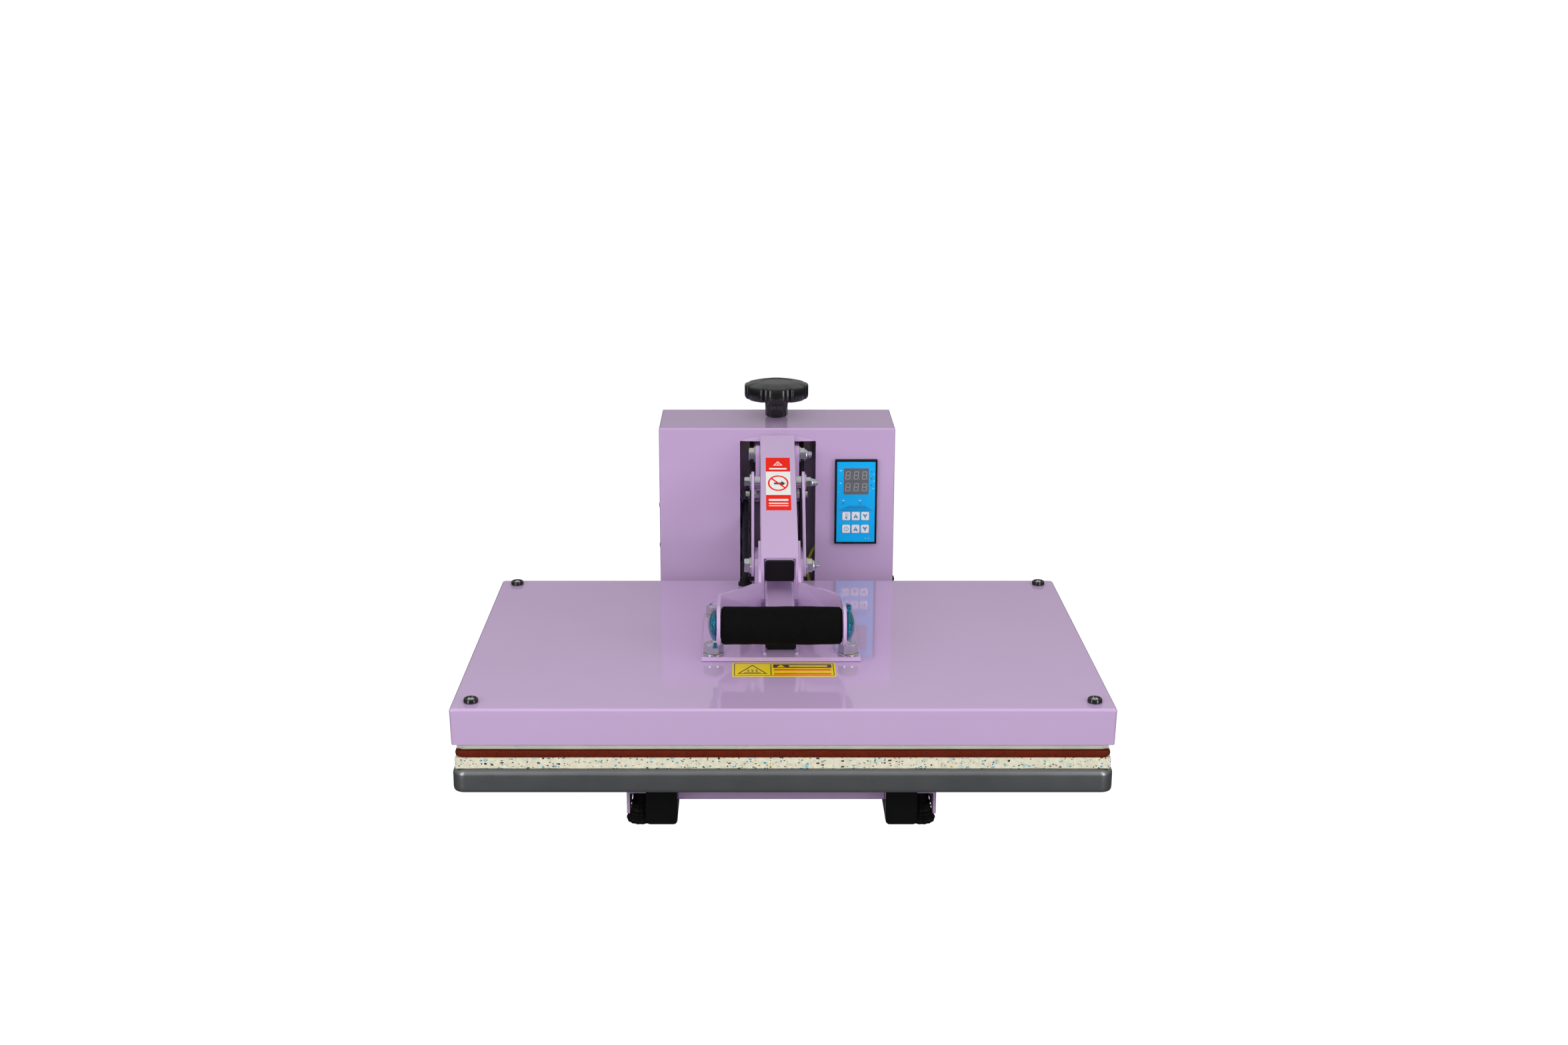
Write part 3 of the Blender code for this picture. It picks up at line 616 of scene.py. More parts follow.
def finish(name, slot, metallic=0.0, coat=0.0, coat_rough=0.08, sheen=0.0, specular=0.5):
    """A new material with the values that don't vary; returns it, its wires and its shader's inputs."""
    made = bpy.data.materials.new(name)
    made.use_nodes = True
    made["slot"] = slot
    shader = made.node_tree.nodes["Principled BSDF"]
    shader.inputs["Metallic"].default_value = metallic
    shader.inputs["Coat Weight"].default_value = coat
    shader.inputs["Coat Roughness"].default_value = coat_rough
    shader.inputs["Sheen Weight"].default_value = sheen
    shader.inputs["Specular IOR Level"].default_value = specular
    return made, Wires(made.node_tree), shader.inputs


def even_finish(name, slot, colour, rough, drift=(12.0, 0.03), grain=(900.0, 2e-5), gloss_scale=40.0, **kind):
    """A finish with one base colour whose tone, gloss and grain all vary a little."""
    made, w, into = finish(name, slot, **kind)
    shade = w.use(GROUPS["drift"], Colour=(*colour, 1), Scale=drift[0], Amount=drift[1])
    w.feed(into["Base Color"], shade["Colour"])
    w.feed(into["Roughness"], w.use(GROUPS["spread"], Scale=gloss_scale, Low=rough[0],
                                    High=rough[1])["Value"])
    w.feed(into["Normal"], w.use(GROUPS["grain"], Scale=grain[0], Depth=grain[1])["Normal"])
    return made


def foam_board():
    """Bonded foam: cream crumb with blue, yellow, brown and black scraps of three sizes."""
    made, w, into = finish("foam_board_crumb", "foam_board", specular=0.25)
    crumb = w.use(GROUPS["drift"], Colour=(0.76, 0.73, 0.57, 1), Scale=260.0, Amount=0.10)["Colour"]
    large = w.use(GROUPS["flecks"], Scale=210.0, Share=0.26, Size=0.36)
    shade = w.node("ValToRGB", Fac=large["Lot"])
    stops = [(0.0, (0.02, 0.20, 0.42, 1)), (0.34, (0.10, 0.42, 0.62, 1)), (0.52, (0.02, 0.02, 0.025, 1)),
             (0.72, (0.62, 0.48, 0.06, 1)), (0.86, (0.16, 0.05, 0.03, 1))]
    ramp = shade.color_ramp
    ramp.interpolation = "CONSTANT"
    while len(ramp.elements) < len(stops):
        ramp.elements.new(0.5)
    for element, (place, colour) in zip(ramp.elements, stops):
        element.position, element.color = place, colour
    colour = w.blend(large["Mask"], crumb, shade.outputs[0])
    pale = w.use(GROUPS["flecks"], Scale=120.0, Share=0.22, Size=0.40)
    colour = w.blend(w.sums("MULTIPLY", pale["Mask"], 0.55), colour, (0.38, 0.58, 0.52, 1))
    small = w.use(GROUPS["flecks"], Scale=380.0, Share=0.20, Size=0.38)
    colour = w.blend(small["Mask"], colour, (0.035, 0.04, 0.05, 1))
    w.feed(into["Base Color"], colour)
    w.feed(into["Roughness"], w.use(GROUPS["spread"], Scale=300.0, Low=0.75, High=0.95)["Value"])
    w.feed(into["Normal"], w.use(GROUPS["pores"], Scale=500.0, Depth=2.5e-4)["Normal"])
    return made


def porous(name, slot, colour, pit_shade, scale, depth, rough, drift=(60.0, 0.08), **kind):
    """Open-cell skin: pits from cell noise, with painted shade inside them, on a slowly drifting base colour."""
    made, w, into = finish(name, slot, **kind)
    pores = w.use(GROUPS["pores"], Scale=scale, Depth=depth)
    base = w.use(GROUPS["drift"], Colour=(*colour, 1), Scale=drift[0], Amount=drift[1])["Colour"]
    # painted shade: the colour inside the pores is blended towards the second, darker colour
    w.feed(into["Base Color"], w.blend(w.sums("MULTIPLY", pores["Mask"], 0.8), base, (*pit_shade, 1)))
    w.feed(into["Roughness"], w.use(GROUPS["spread"], Scale=80.0, Low=rough[0], High=rough[1])["Value"])
    w.feed(into["Normal"], pores["Normal"])
    return made


def foil(name, slot, colour, rough):
    """Teal protective film over a domed plug: metallic and creased."""
    made, w, into = finish(name, slot, metallic=0.85, coat=0.8, coat_rough=0.06)
    crease = w.use(GROUPS["creases"], Scale=120.0, Depth=7e-4)
    base = w.use(GROUPS["drift"], Colour=(*colour, 1), Scale=90.0, Amount=0.35)["Colour"]
    w.feed(into["Base Color"], base)
    w.feed(into["Roughness"], w.use(GROUPS["spread"], Scale=150.0, Low=rough[0], High=rough[1])["Value"])
    w.feed(into["Normal"], crease["Normal"])
    return made


def zinc():
    """Zinc plating: bright metal with faint straw and blue passivation clouds."""
    made, w, into = finish("zinc_plating", "zinc_plate", metallic=1.0)
    cloud = w.span(w.noise(90.0, 2.0), 0.50, 0.70)
    tint = w.blend(cloud, (0.66, 0.69, 0.73, 1), (0.72, 0.68, 0.52, 1))
    w.feed(into["Base Color"], w.use(GROUPS["drift"], Colour=tint, Scale=300.0, Amount=0.05)["Colour"])
    w.feed(into["Roughness"], w.use(GROUPS["spread"], Scale=120.0, Low=0.14, High=0.24)["Value"])
    w.feed(into["Normal"], w.use(GROUPS["grain"], Scale=1500.0, Depth=1.2e-5)["Normal"])
    return made


def glass_sleeve():
    """Braided sleeve: two crossing sets of strands from waves at opposite slants."""
    made, w, into = finish("glass_sleeve_braid", "glass_sleeve", specular=0.3)
    heights = []
    for slant in (0.9, -0.9):
        spot = w.node("Mapping", Vector=w.node("TexCoord").outputs["Object"],
                      Rotation=(slant, 0, slant)).outputs[0]
        heights.append(w.node("TexWave", Vector=spot, Scale=260.0, Distortion=0.4).outputs["Fac"])
    strands = w.sums("MULTIPLY", *heights)
    w.feed(into["Base Color"], w.blend(strands, (0.006, 0.006, 0.008, 1), (0.022, 0.022, 0.028, 1)))
    w.feed(into["Roughness"], w.use(GROUPS["spread"], Scale=200.0, Low=0.55, High=0.8)["Value"])
    w.feed(into["Normal"], w.bump(strands, 3e-4))
    return made


def floor_finish():
    """Pale bench top: a matt off-white that shows as clean white behind the machine."""
    made = bpy.data.materials.new("pale_floor")
    made.use_nodes = True
    tree = made.node_tree
    w = Wires(tree)
    shader = tree.nodes["Principled BSDF"]
    shader.inputs["Roughness"].default_value = 0.9
    w.feed(shader.inputs["Base Color"], w.blend(w.noise(6.0, 3.0), (0.055, 0.055, 0.055, 1),
                                                (0.065, 0.065, 0.065, 1)))
    glow = w.node("Emission", Strength=1.05)
    blend = w.node("MixShader")
    w.feed(blend.inputs[0], w.node("LightPath").outputs["Is Camera Ray"])
    tree.links.new(shader.outputs[0], blend.inputs[1])
    tree.links.new(glow.outputs[0], blend.inputs[2])
    tree.links.new(blend.outputs[0], tree.nodes["Material Output"].inputs["Surface"])
    return made


LILAC = even_finish("lilac_enamel", "lilac_paint", (0.565, 0.405, 0.650), (0.055, 0.09), drift=(5.0, 0.02),
                    grain=(260.0, 4e-6), gloss_scale=14.0, coat=0.3, coat_rough=0.03)
# painted shade: a near-black copy of the lilac paint, so the posts inside the box read as dark as its shadowed
# inside
SHADED_INSIDE_PAINT = even_finish("box_inside_painted_shade", "lilac_paint", (0.012, 0.009, 0.013), (0.45, 0.6), specular=0.2)
SILVER = even_finish("silver_casting_paint", "cast_aluminium", (0.225, 0.235, 0.248), (0.26, 0.36),
                     drift=(9.0, 0.06),
                     grain=(700.0, 3e-5), metallic=0.8)
FOAM_BOARD = foam_board()
# the second colour is the painted shade inside the pores
SILICONE = porous("silicone_sponge_skin", "silicone_sponge", (0.125, 0.014, 0.004), (0.020, 0.003, 0.0015),
                  620.0, 2.5e-4,
                  (0.7, 0.9), specular=0.12)
IVORY = even_finish("ivory_release_film", "ivory_film", (0.66, 0.65, 0.55), (0.22, 0.36), drift=(30.0, 0.05),
                    grain=(350.0, 4e-5), coat=0.3)
BLACK_PLASTIC = even_finish("black_moulding", "black_plastic", (0.0035, 0.0035, 0.004), (0.42, 0.55),
                            grain=(1400.0, 3e-5),
                            drift=(60.0, 0.15), specular=0.22)
BLACK_KNOB = even_finish("black_phenolic", "black_knob", (0.007, 0.007, 0.0075), (0.15, 0.22),
                         grain=(500.0, 1.2e-5),
                         drift=(70.0, 0.15), coat=0.25)
RUBBER = even_finish("black_rubber_foot", "black_rubber", (0.005, 0.005, 0.005), (0.5, 0.7),
                     grain=(900.0, 6e-5),
                     drift=(70.0, 0.2), specular=0.25)
# the second colour is the painted shade inside the pores
GRIP_FOAM = porous("grip_foam_cells", "grip_foam", (0.0035, 0.0035, 0.0035), (0.001, 0.001, 0.001), 1500.0,
                   1.4e-4,
                   (0.85, 0.98), specular=0.08)
ZINC = zinc()
STEEL_SCREW = even_finish("bright_screw", "zinc_plate", (0.72, 0.74, 0.76), (0.18, 0.3), metallic=1.0)
FOIL = foil("teal_cap_film", "teal_dome", (0.0, 0.22, 0.32), (0.10, 0.24))
PANEL_BLUE = even_finish("panel_film_blue", "panel_blue", (0.0, 0.45, 0.95), (0.28, 0.38), drift=(60.0, 0.03),
                         specular=0.3)
STRIPE_BLUE = even_finish("panel_stripe_blue", "panel_blue", (0.01, 0.06, 0.20), (0.3, 0.4))
KEY_WHITE = even_finish("key_white_film", "key_white", (0.84, 0.88, 0.93), (0.3, 0.42), drift=(90.0, 0.03))
ICON_BLUE = even_finish("key_icon_blue", "panel_blue", (0.10, 0.30, 0.50), (0.35, 0.45))
WINDOW_GREY = even_finish("display_window_grey", "black_plastic", (0.125, 0.135, 0.145), (0.15, 0.22),
                          drift=(90.0, 0.05))
SEGMENT_GREY = even_finish("display_segment_grey", "key_white", (0.30, 0.31, 0.32), (0.25, 0.35))
LABEL_WHITE = even_finish("label_white", "key_white", (0.86, 0.86, 0.85), (0.35, 0.45), specular=0.3)
LABEL_RED = even_finish("label_red", "silicone_sponge", (0.86, 0.016, 0.005), (0.35, 0.45),
                        drift=(60.0, 0.03), specular=0.1)
LABEL_YELLOW = even_finish("label_yellow", "foam_board", (1.0, 0.76, 0.006), (0.30, 0.4), drift=(60.0, 0.03),
                           specular=0.1)
# black for printed marks, and for the vent plates on the back cover, where it is painted shade
BLACK_PRINT_AND_SHADE = even_finish("black_print_and_vent_shade", "black_plastic", (0.02, 0.018, 0.015), (0.3, 0.4))
LABEL_ORANGE = even_finish("label_orange", "silicone_sponge", (0.95, 0.17, 0.010), (0.3, 0.4), specular=0.25)
WIRE_BLUE = even_finish("wire_blue", "panel_blue", (0.006, 0.018, 0.075), (0.3, 0.4), drift=(200.0, 0.1))
WIRE_YELLOW = even_finish("wire_yellow_green", "foam_board", (0.30, 0.32, 0.02), (0.3, 0.4),
                          drift=(120.0, 0.3))
SLEEVE = glass_sleeve()
# the second colour is the painted shade inside the pores
INSULATION = porous("insulation_felt", "insulation", (0.60, 0.56, 0.46), (0.3, 0.28, 0.22), 400.0, 4e-4,
                    (0.85, 0.98))

BY_SLOT = {
    "lilac_paint": LILAC, "black_plastic": BLACK_PLASTIC, "black_knob": BLACK_KNOB, "black_rubber": RUBBER,
    "cast_aluminium": SILVER, "foam_board": FOAM_BOARD, "silicone_sponge": SILICONE, "ivory_film": IVORY,
    "zinc_plate": ZINC, "panel_blue": PANEL_BLUE, "key_white": KEY_WHITE, "teal_dome": FOIL,
           "grip_foam": GRIP_FOAM,
    "insulation": INSULATION, "glass_sleeve": SLEEVE,
}


# ---------------------------------------------------------------- base and lower platen

def middle(node):
    """Centre and half size of a frame node's box, in millimetres."""
    low, high = corners(node)
    return (low + high) / 2, (high - low) / 2


BACK_Y = 300.0                              # outer face of the back cover
SLOT_X, SLOT_HALF, SLOT_LOW, SLOT_TOP = 1.0, 43, 60, 294.3
WINDOW_AT = (90, 224.25)                    # centre of the controller's window, across and up
SCREW_Y = 260                               # the pressure screw's axis
SWITCH_Y, SWITCH_Z = 235, 111
CHANNEL_REAR = (0, 184.0, 303.7)            # top of the channel's web at its rear end
KNOB_LOBES, KNOB_STEM_TOP, KNOB_BRIM = 8, 322, 331.0


def base():
    """Rails with their moulded ends, foot brackets, cross tube and deck plate."""
    for side, _ in SIDES:
        rounded_copy("rail_" + side, LILAC, 0.6)
        rounded_copy("foot_bracket_" + side, LILAC, 0.8)
        centre, half = middle("rail_" + side)
        low = corners("rail_plug_" + side)[0]
        for end, y, axis, nodes in (("front", low[1], "-Y", ("rail_plug_" + side,)),
                                    ("rear", centre[1] + half[1], "Y", ())):
            face = stacked(eased(half[0], half[2], 4.0, -2.6, 0.0, 0.3, 1.0))
            lip = stacked(eased(half[0] - 2.4, half[2] - 2.4, 2.0, -16.0, -2.5, 0.3, 0.3))
            out = y if end == "front" else y + 2.9
            piece("rail_end_%s_%s" % (end, side), [moved(face, (centre[0], out, centre[2]), axis),
                                                  moved(lip, (centre[0], out, centre[2]), axis)],
                  "root", BLACK_PLASTIC, nodes)
    rounded_copy("front_cross_tube", LILAC, 0.6)
    rounded_copy("deck_plate", LILAC, 0.9)
    feet()


def feet():
    """Ribbed rubber cones on a stud, with a washer and nut under the bracket."""
    profile = [(0, 0), (11.6, 0), (12.6, 0.5), (13.3, 2.0), (13.5, 3.2), (13.2, 5.0), (12.3, 5.6),
               (12.6, 6.4), (12.6, 7.6), (11.7, 8.2), (12.0, 9.0), (11.8, 10.4), (11.0, 11.2), (9.2, 12.0),
               (8.6, 13.4), (9.4, 14.2), (9.4, 16.0), (8.3, 16.8), (8.2, 18.2), (9.0, 19.0), (8.8, 20.6),
               (7.8, 21.4), (7.4, 24.0), (7.4, 34.0), (7.0, 35.5), (0, 36)]

    def ribbed(angle, height):
        return 1 + 0.035 * np.cos(14 * angle) * np.clip((24 - height) / 8, 0, 1)

    for side, _ in SIDES:
        for end in ("front", "rear"):
            node = "foot_%s_%s" % (end, side)
            centre, _ = middle(node)
            at = (centre[0], centre[1], 0)
            piece(node + "_rubber", [moved(spun(profile, 84, ribbed), at)], "root", RUBBER, (node,),
                  flats=False)
            stud = [hexagon(13, 36.2, 40.6), spun([(0, 35.6), (8.4, 35.6), (8.4, 36.2), (0, 36.2)]),
                    thread(4, 40, 47)]
            piece(node + "_nut", [moved(s, at) for s in stud], "root", ZINC)


def sagging(shell, amount, wave=0.05, seed=0.0):
    """Soft thickness: points drift up or down with two crossing sine waves, and a little in or out."""
    points, faces = shell
    x, y, z = points[..., 0], points[..., 1], points[..., 2]
    rise = np.sin(x * wave + seed) * 0.5 + np.sin(x * wave * 2.7 + y * wave * 1.9 + seed * 2) * 0.3
    rise = rise + np.sin(y * wave * 1.3 - seed) * 0.3
    out = np.array([np.cos(x * wave * 1.7 + seed), np.cos(y * wave * 1.7 - seed)]) * 0.6
    points = np.stack([x + amount * out[0] * np.sign(x), y + amount * out[1] * np.sign(y), z + amount * rise],
                      axis=-1)
    return points, faces


SPREAD = 2.0        # the pads and the casting stand this far proud of their solids at each end


def lower_platen():
    """Casting, foam and silicone: stacked round-cornered rectangles whose rims follow quarter circles."""
    centre, half = middle("lower_tray")
    low, high = corners("lower_tray")
    half[0] += SPREAD
    level = lambda z: z - high[2]
    wall = 7.0
    depth = high[2] - low[2]
    outer = [(half[0] - 2.4, half[1] - 2.4, 9.5, level(low[2])),
             (half[0] - 1.0, half[1] - 1.0, 11, level(low[2]) + 0.5),
             (half[0] - 0.3, half[1] - 0.3, 12, level(low[2]) + 1.6),
             (half[0], half[1], 12.5, level(low[2]) + 4),
             (half[0], half[1], 12.5, level(low[2]) + depth * 0.5)]
    rim = [(half[0] - 6 * (1 - math.cos(t)), half[1] - 6 * (1 - math.cos(t)), 12.5 - 3 * (1 - math.cos(t)),
            -6 + 6 * math.sin(t))
           for t in np.linspace(0, np.pi / 2, 9)]
    well = [(half[0] - wall - 1, half[1] - wall - 1, 6, level(low[2]) + depth - 8),
            (half[0] - wall, half[1] - wall, 6, level(low[2]))]
    tray = stacked(well + outer + rim, 12, 6)
    piece("tray_casting", [moved(tray, (centre[0], centre[1], high[2]))], "root", SILVER, ("lower_tray",))
    for side, sign in SIDES:
        rib = stacked(eased(19, half[1] - wall + 1, 2, level(low[2]), -7.5, 0.5, 0.5))
        piece("tray_rib_" + side, [moved(rib, (sign * 115, centre[1], high[2]))], "root", SILVER)

    low, high = corners("foam_pad")
    centre, half = middle("foam_pad")
    half[0] += SPREAD
    board = stacked(eased(half[0], half[1], 1.6, 0, high[2] - low[2], 0.5, 0.5, 3), 4, 90)
    board = sagging(board, 0.12, 0.11)
    foam = piece("foam_board", [moved(board, (centre[0], centre[1], low[2] - 0.2))], "root", FOAM_BOARD,
                 ("foam_pad",))

    low, high = corners("silicone_pad")
    centre, half = middle("silicone_pad")
    half[0] += SPREAD
    depth = high[2] - low[2]
    bulge = [(half[0] - 2.6 + 2.6 * math.sin(t), half[1] - 1.0 + 1.0 * math.sin(t), 5 + 1.0 * math.sin(t),
              depth * (0.5 - 0.5 * math.cos(t))) for t in np.linspace(0.12, np.pi - 0.12, 9)]
    sponge = sagging(stacked(bulge, 6, 90), 0.16, 0.037, 1.4)
    sheet = piece("silicone_pad_sponge", [moved(sponge, (centre[0], centre[1], low[2]))], "root", SILICONE,
                  ("silicone_pad",), sharp=60)


# ---------------------------------------------------------------- upper platen and arm

BOLT_FLATS = 17.0


def upper_platen():
    """Cover with its turned-in skirt, its corner screws, the coated platen, the plate and its bolts."""
    low, high = corners("platen_cover")
    centre, half = middle("platen_cover")
    sheet, edge, drop = 2.0, 2.6, high[2] - low[2]
    taper = 1.0
    inside = [(half[0] - sheet - 0.5, half[1] - sheet - 0.5, 1.0, -sheet),
              (half[0] - sheet, half[1] - sheet, 1.2, -sheet - 1),
              (half[0] - sheet - taper, half[1] - sheet - 0.4, 1.2, 0.3 - drop)]
    outside = [(half[0] - taper - 1.7, half[1] - 2.0, 2.0, -drop),
               (half[0] - taper - 0.2, half[1] - 0.5, 2.4, -drop),
               (half[0] - taper, half[1] - 0.3, 2.6, 0.4 - drop), (half[0] - 0.2, half[1], 2.6, -edge - 2)]
    top = [(half[0] - edge * (1 - math.cos(t)), half[1] - edge * (1 - math.cos(t)), 2.8,
            edge * (math.sin(t) - 1))
           for t in np.linspace(0, np.pi / 2, 7)]
    cover = stacked(inside + outside + top, 6, 1)
    piece("platen_cover_shell", [moved(cover, (centre[0], centre[1], high[2]))], "arm", LILAC,
          ("platen_cover",))

    for end, y in (("front", low[1] + 18.8), ("rear", high[1] - 16.2)):
        for side, sign in SIDES:
            at = (sign * 287.0, y, high[2])
            cup = [(0, 0), (6.3, 0), (6.9, 0.5), (6.9, 2.6), (6.4, 3.9), (5.6, 4.4), (4.8, 4.2), (4.2, 3.2),
                   (3.9, 2.2), (0, 2.2)]
            piece("cup_washer_%s_%s" % (end, side), [moved(spun(cup, 48), at)], "arm", BLACK_KNOB,
                  flats=False)
            piece("cover_screw_%s_%s" % (end, side), [moved(cross_head(3.7, 2.1, 1.9), at)], "arm",
                  STEEL_SCREW, flats=False)

    low, high = corners("heat_platen")
    centre, half = middle("heat_platen")
    depth = high[2] - low[2]
    under = [(half[0] - 3.2 + 3.0 * math.sin(t), half[1] - 3.2 + 3.0 * math.sin(t), 3 + 3 * math.sin(t),
              2.6 * (1 - math.cos(t)))
             for t in np.linspace(0, np.pi / 2, 7)]
    body = under + [(half[0] - 0.2, half[1] - 0.2, 6, 4.2), (half[0] - 0.9, half[1] - 0.9, 6, 5.0),
                    (half[0] - 0.9, half[1] - 0.9, 6, 6.4),
                    (half[0] - 0.4, half[1] - 0.4, 6, 6.9), (half[0] - 3, half[1] - 3, 6, depth)]
    film = sagging(stacked(body, 6, 60), 0.10, 0.045, 0.6)
    piece("heat_platen_film", [moved(film, (centre[0], centre[1], low[2]))], "arm", IVORY, ("heat_platen",),
          sharp=50)
    for side, sign in SIDES:
        x = sign * (half[0] - 3.5) - 3.0
        roll = curled_strip(6.0, 7.0, 2.2)
        piece("film_curl_" + side, [moved(roll, (x, low[1] + 0.4, low[2] + 6.0), "Z", math.radians(-128))],
              "arm", IVORY, sharp=60)

    rounded_copy("mounting_plate", LILAC, 0.7)
    _, plate_top = corners("mounting_plate")
    for end in ("front", "rear"):
        for side, _ in SIDES:
            node = "platen_bolt_%s_%s" % (end, side)
            centre, _ = middle(node)
            at = (centre[0], centre[1], plate_top[2])
            washer = spun([(4.5, 0.1), (9.9, 0.1), (10.4, 0.4), (10.4, 1.5), (10.0, 1.9), (4.5, 1.9)], 64)
            piece(node + "_hex", [moved(washer, at), moved(hexagon(BOLT_FLATS, 1.9, 11.4, 0.8), at)], "arm",
                  ZINC, (node,))
            shank = corners(node)[0][2] - plate_top[2]
            piece(node + "_shank", [moved(thread(4.9, shank + 0.5, 0.6), at)], "arm", ZINC)


def arm():
    """Arm tube, cheeks, and the braided heater sleeve along a smooth path through its route points."""
    rounded_copy("arm_tube", LILAC, 0.35)
    rounded_copy("arm_tube_plug", BLACK_PLASTIC, 0.7)
    for side, _ in SIDES:
        rounded_copy("arm_cheek_" + side, LILAC, 0.6)
    route = [(-36, 92, 155.4), (-36, 92, 163), (-36, 95, 170), (-36, 103, 175), (-36, 115, 178),
             (-36, 135, 181), (-36, 160, 188), (-36, 182, 198), (-36, 200, 210), (-36, 214, 218.5)]
    braid = lambda angle, walked: (1 + 0.045 * np.cos(6 * angle + walked * 2.2)
                                   * np.cos(6 * angle - walked * 2.2))
    piece("heater_cable_sleeve", [tube(smooth_path(route, 160), 3.15, 36, braid)], "arm", SLEEVE,
          ("heater_cable",), flats=False)
    gland = spun([(3.4, 0), (7.5, 0), (7.5, 3), (6.0, 4), (6.0, 7), (5.2, 8), (3.4, 8)], 36)
    piece("heater_cable_gland", [moved(gland, (-36, 92, 155.2))], "arm", BLACK_PLASTIC)
    edge_weld("mounting_plate", 14.6)


def edge_weld(node, half_width):
    """A wavy fillet bead along each foot of the arm tube on the mounting plate."""
    low, high = corners(node)
    for side, sign in SIDES:
        y = np.linspace(low[1] + 8, high[1] - 4, 90)
        path = np.column_stack([np.full(90, sign * (half_width + 1.2)) + 0.25 * np.sin(y * 1.9), y,
                                np.full(90, high[2] + 0.7)])
        ripple = lambda angle, walked: 1 + 0.10 * np.cos(walked * 2.4)
        piece("weld_bead_" + side, [tube(path, 1.7, 12, ripple)], "arm", LILAC, flats=False)


# ---------------------------------------------------------------- linkage, handle, knob

def across(name, node, body, flats_head, flats_nut, shank, gaps=()):
    """A bolt along X: head at its left end, lock nut at its right, plain shank, collars between."""
    low, high = corners(node)
    centre = (0, (low[1] + high[1]) / 2, (low[2] + high[2]) / 2)
    left, right = low[0], high[0] - 5.0
    shells = [moved(hexagon(flats_head, 0, 5.9, 0.6), (left + 5.9, centre[1], centre[2]), "-X"),
              moved(spun([(0, left + 5.6), (shank, left + 5.6), (shank, right - 7.9), (0, right - 7.9)], 32),
                    centre, "X")]
    shells += [moved(s, centre, "X") for s in lock_nut(flats_nut, shank, right - 7.9, right)]
    for start, stop, radius in gaps:
        shells.append(moved(spun([(shank - 0.3, start), (radius - 0.3, start), (radius, start + 0.3),
                                  (radius, stop - 0.3), (radius - 0.3, stop), (shank - 0.3, stop)], 40),
                            centre, "X"))
    piece(name, shells, body, ZINC, (node,))


def linkage():
    """Link bars and yoke, through bolts with collars, the arm's pivot shaft and the pressure screw's thread."""
    washers = [(-30.8, -29.2, 9), (29.2, 30.8, 9)]
    across("link_bolt_rear_set", "link_bolt_rear", "handle", 10, 10, 3.9,
           washers + [(-25.7, -19.4, 7), (19.4, 25.7, 7)])
    across("link_bolt_front_set", "link_bolt_front", "link", 13, 13, 3.9, washers)
    across("handle_pivot_set", "handle_pivot_bolt", "pressure_yoke", 13, 13, 3.9,
           [(-26.0, -24.6, 9), (24.6, 26.0, 9)])
    for side, _ in SIDES:
        rounded_copy("link_" + side, LILAC, 0.6)
    rounded_copy("pressure_yoke", LILAC, 0.8)
    rounded_copy("arm_pivot_shaft", ZINC, 0.4)
    screw_low, screw_high = corners("pressure_screw")
    at = middle("pressure_screw")[0]
    piece("pressure_screw_thread",
          [moved(thread(6, screw_low[2], screw_high[2], 1.75, 0.8, 36), (at[0], at[1], 0))], "knob", ZINC,
          ("pressure_screw",), flats=False)


def handle():
    """Channel, tube, foam sleeve and foil caps: turned profiles laid along X."""
    rounded_copy("handle_channel", LILAC, 0.9, 3)
    rounded_copy("handle_tube", LILAC, 0.35)
    rounded_copy("handle_tube_plug", BLACK_PLASTIC, 0.8)
    rounded_copy("grip_tube", LILAC, 0.3)
    centre, half = middle("foam_grip")
    bore = corners("grip_tube")[1][1] - centre[1] + 0.1
    t = np.linspace(0, 1, 60)
    reach = half[0] - 0.2
    x = reach * (2 * t - 1)
    roll = np.clip(np.abs(x) - reach + 3.6, 0, 3.6) / 3.6
    rim = half[1] - 2.6 * (1 - np.sqrt(np.clip(1 - roll ** 2, 0, 1)))
    profile = [(bore, -reach + 0.5)] + list(zip(rim, x)) + [(bore, reach - 0.5), (bore, -reach + 0.5)]

    def squeezed(angle, along):
        """Slow uneven swelling: three faint sine waves along and round the sleeve."""
        return (1 + 0.010 * np.sin(along * 0.07 + 1.0) + 0.006 * np.sin(2 * angle + along * 0.09)
                + 0.004 * np.sin(along * 0.31))

    foam = piece("grip_foam_sleeve",
                 [moved((spun(profile, 96, squeezed)[0], grid_faces(len(profile), 96, True, False, False)),
                        centre, "X")],
                 "handle", GRIP_FOAM, ("foam_grip",), sharp=50, flats=False)
    dome = [(0, -11.5), (9.6, -11.5), (10.1, -11), (10.1, 0.2), (13.6, 0.2), (14.8, 0.6), (15.2, 1.4),
            (14.4, 3.0), (12.6, 4.6), (10.0, 6.0), (7.0, 7.1), (3.5, 7.8), (0.8, 8.0)]

    def puckered(angle, height):
        rise = np.clip((height - 0.1) / 2, 0, 1) * np.clip((7.6 - height) / 5, 0, 1)
        return 1 + rise * (0.022 * np.sin(9 * angle + 1.3 * np.sin(3 * angle))
                           + 0.014 * np.sin(17 * angle + 0.7))

    for side, axis in (("left", "-X"), ("right", "X")):
        node = "grip_cap_" + side
        low, high = corners(node)
        sign = -1 if side == "left" else 1
        seat = (high[0] - 8 if sign > 0 else low[0] + 8, centre[1], centre[2])
        piece(node + "_dome", [moved(spun(dome, 90, puckered), seat, axis)], "handle", FOIL, (node,),
              flats=False)
        flap = curled_strip(4.5, 9.0, 1.9 if sign < 0 else 1.2, 0.12)
        lean = math.radians(60 if sign > 0 else -120)
        up = 13.5 if sign > 0 else -16.5
        piece("film_tail_" + side,
              [moved(flap, (seat[0] + sign * 1.5 - 2.2, centre[1] - 3, centre[2] + up), "Z", lean)],
              "handle", FOIL, sharp=60)
    channel_label()


CHANNEL_SLOPE = math.radians(17.2)


